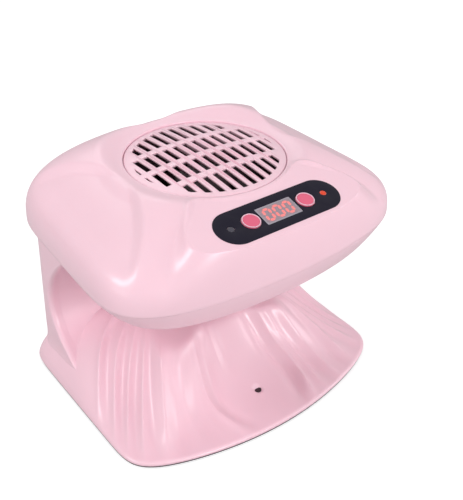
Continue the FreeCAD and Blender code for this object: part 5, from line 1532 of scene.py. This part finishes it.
@dataclass
class Studio:
    """A plain pale floor, soft lamps and the camera.

    The camera's focal length is in parts of a picture as tall as stated. The tones and glows are
    shares of white.
    """

    place: tuple[float, float, float] = (-0.228466, -0.316755, 0.338240)
    heading: float = 37.966
    pitch: float = 33.589
    roll: float = 0.753
    focal: float = 802.214
    tall: float = 500.0
    sensor: float = 36.0
    floor_half: float = 6.0
    floor_tone: float = 0.55
    floor_glow: float = 0.62
    world_light: float = 0.60
    lamps: tuple[Lamp, ...] = (
        Lamp("key", (-0.66, 0.12, 0.72), (0.0, 0.0, 0.08), (0.32, 0.26), 2.5),
        Lamp("fill", (0.85, -0.55, 0.40), (0.0, 0.0, 0.05), (0.4, 0.4), 2.0),
        Lamp("front", (0.0, -1.10, 0.48), (0.0, -0.05, 0.02), (0.3, 0.3), 4.9),
        Lamp("side", (-1.1, -0.1, 0.45), (0.0, 0.0, 0.07), (0.6, 0.3), 1.0),
        Lamp("rear", (0.2, 0.9, 0.9), (0.0, 0.0, 0.1), (0.8, 0.5), 1.6),
    )

    def camera(self) -> None:
        """Sets the camera: forward from heading and pitch, then turned by the roll."""
        data = bpy.data.cameras.new("camera")
        data.sensor_width = self.sensor
        data.lens = self.focal * self.sensor / self.tall
        data.clip_start = 0.01
        thing = bpy.data.objects.new("camera", data)
        bpy.context.scene.collection.objects.link(thing)
        heading, pitch, roll = (math.radians(angle) for angle in (self.heading, self.pitch, self.roll))
        level = np.array([math.sin(heading), math.cos(heading), 0.0])
        ahead = level * math.cos(pitch) - UP * math.sin(pitch)
        right = np.array([math.cos(heading), -math.sin(heading), 0.0])
        up = np.cross(right, ahead)
        turned_right = right * math.cos(roll) + up * math.sin(roll)
        turned_up = -right * math.sin(roll) + up * math.cos(roll)
        matrix = np.eye(4)
        matrix[:3, 0], matrix[:3, 1], matrix[:3, 2] = turned_right, turned_up, -ahead
        matrix[:3, 3] = self.place
        thing.matrix_world = Matrix([list(row) for row in matrix])
        bpy.context.scene.camera = thing

    def floor(self) -> None:
        """A wide floor that the camera sees as white away from the object's shadow."""
        mesh = bpy.data.meshes.new("floor")
        half = self.floor_half
        corners = [(-half, -half, 0.0), (half, -half, 0.0), (half, half, 0.0), (-half, half, 0.0)]
        mesh.from_pydata(corners, [], [(0, 1, 2, 3)])
        material = bpy.data.materials.new("pale_floor")
        material.use_nodes = True
        nodes, links = material.node_tree.nodes, material.node_tree.links
        shader = nodes["Principled BSDF"]
        shader.inputs["Roughness"].default_value = 0.9
        shader.inputs["Specular IOR Level"].default_value = 0.0
        shader.inputs["Base Color"].default_value = (self.floor_tone, self.floor_tone, self.floor_tone, 1.0)
        glow = nodes.new("ShaderNodeEmission")
        glow.inputs["Color"].default_value = (1.0, 1.0, 1.0, 1.0)
        path = nodes.new("ShaderNodeLightPath")
        level = nodes.new("ShaderNodeMath")
        level.operation = "MULTIPLY"
        level.inputs[1].default_value = self.floor_glow
        links.new(path.outputs["Is Camera Ray"], level.inputs[0])
        links.new(level.outputs["Value"], glow.inputs["Strength"])
        both = nodes.new("ShaderNodeAddShader")
        links.new(shader.outputs["BSDF"], both.inputs[0])
        links.new(glow.outputs["Emission"], both.inputs[1])
        links.new(both.outputs["Shader"], nodes["Material Output"].inputs["Surface"])
        mesh.materials.append(material)
        thing = bpy.data.objects.new("floor", mesh)
        bpy.context.scene.collection.objects.link(thing)

    def world(self) -> None:
        """White for the camera and through clear pieces, softer as a light and in reflections."""
        world = bpy.data.worlds.new("studio")
        bpy.context.scene.world = world
        world.use_nodes = True
        nodes, links = world.node_tree.nodes, world.node_tree.links
        ground = nodes["Background"]
        ground.inputs["Color"].default_value = (1.0, 1.0, 1.0, 1.0)
        path = nodes.new("ShaderNodeLightPath")
        seen = nodes.new("ShaderNodeMath")
        seen.operation = "MAXIMUM"
        links.new(path.outputs["Is Camera Ray"], seen.inputs[0])
        links.new(path.outputs["Is Transmission Ray"], seen.inputs[1])
        level = nodes.new("ShaderNodeMapRange")
        level.inputs["To Min"].default_value = self.world_light
        level.inputs["To Max"].default_value = 1.0
        links.new(seen.outputs["Value"], level.inputs["Value"])
        links.new(level.outputs["Result"], ground.inputs["Strength"])

    def build(self) -> None:
        """Camera, floor, world and lamps."""
        bpy.context.scene.view_settings.view_transform = "Standard"
        self.camera()
        self.floor()
        self.world()
        for lamp in self.lamps:
            lamp.build()


def dress_fixed_nodes(finishes: dict[str, Finish]) -> None:
    """Gives every CAD node its finish, also those that stay hidden inside.

    Args:
        finishes: every finish by its slot.
    """
    for entry in frame["record"]["subparts"]:
        node = frame["nodes"][entry["node"]]
        material = finishes[entry["material_slot"]].material()
        if not node.material_slots:
            node.data.materials.append(material)
        for held in node.material_slots:
            held.material = material


def inlet_disc() -> SlottedDisc:
    """The domed disc over the fan: four rows of slots with three crossbars between them.

    Returns:
        The disc.
    """
    half_bar, row, end = 2.1, 18.65, 41.0
    rear = ((half_bar, row - half_bar), (row + half_bar, end))
    rows = tuple((-high, -low) for low, high in reversed(rear)) + rear
    return SlottedDisc(
        name="inlet_slots", node="inlet_grille", finish="pink_shell", radius=44.2, field_radius=40.3,
        top=142.4, thickness=1.6, centre_y=INLET_Y, pitch=6.24, slot_width=3.4, columns=14, rows=rows,
        dome_radius=345.0, draft=0.5
    )


def outlet_disc() -> SlottedDisc:
    """The flat disc in the underside: two rows of slots, facing down, with a flange inside the head.

    Returns:
        The disc.
    """
    return SlottedDisc(
        name="outlet_slots", node="outlet_grille", finish="pink_matt", radius=35.0, field_radius=32.0,
        top=UNDERSIDE, thickness=4.0, centre_y=INLET_Y, pitch=6.0, slot_width=3.0, columns=10,
        rows=((-34.0, -2.0), (2.0, 34.0)), facing=-1.0, flange=(38.0, 1.5)
    )


def cover_screws() -> ScrewSet:
    """The four screws of the rear cover."""
    places = tuple((x, 69.4, z) for x in (-48.0, 48.0) for z in (38.0, 68.0))
    return ScrewSet("cover_screws", "rear_cover_screws", places, axis=(0.0, 1.0, 0.0), length=8.0)


def main() -> None:
    """Builds the dryer's pieces in order, then the studio."""
    logging.basicConfig(level=logging.INFO)
    dress_fixed_nodes(FINISHES)
    head = HeadCasing()
    pieces = [
        head.upper(),
        head.lower(),
        inlet_disc().piece(),
        outlet_disc().piece(),
        *ControlStrip().pieces(),
        HandRest().piece(),
        Column().piece(),
        Fan().rotor(),
        BottomPlateAndShadeLine().piece(),
        Feet().piece(),
        cover_screws().piece(),
    ]
    for piece in pieces:
        piece.build(FINISHES)
    Studio().build()


if __name__ == "__main__":
    main()
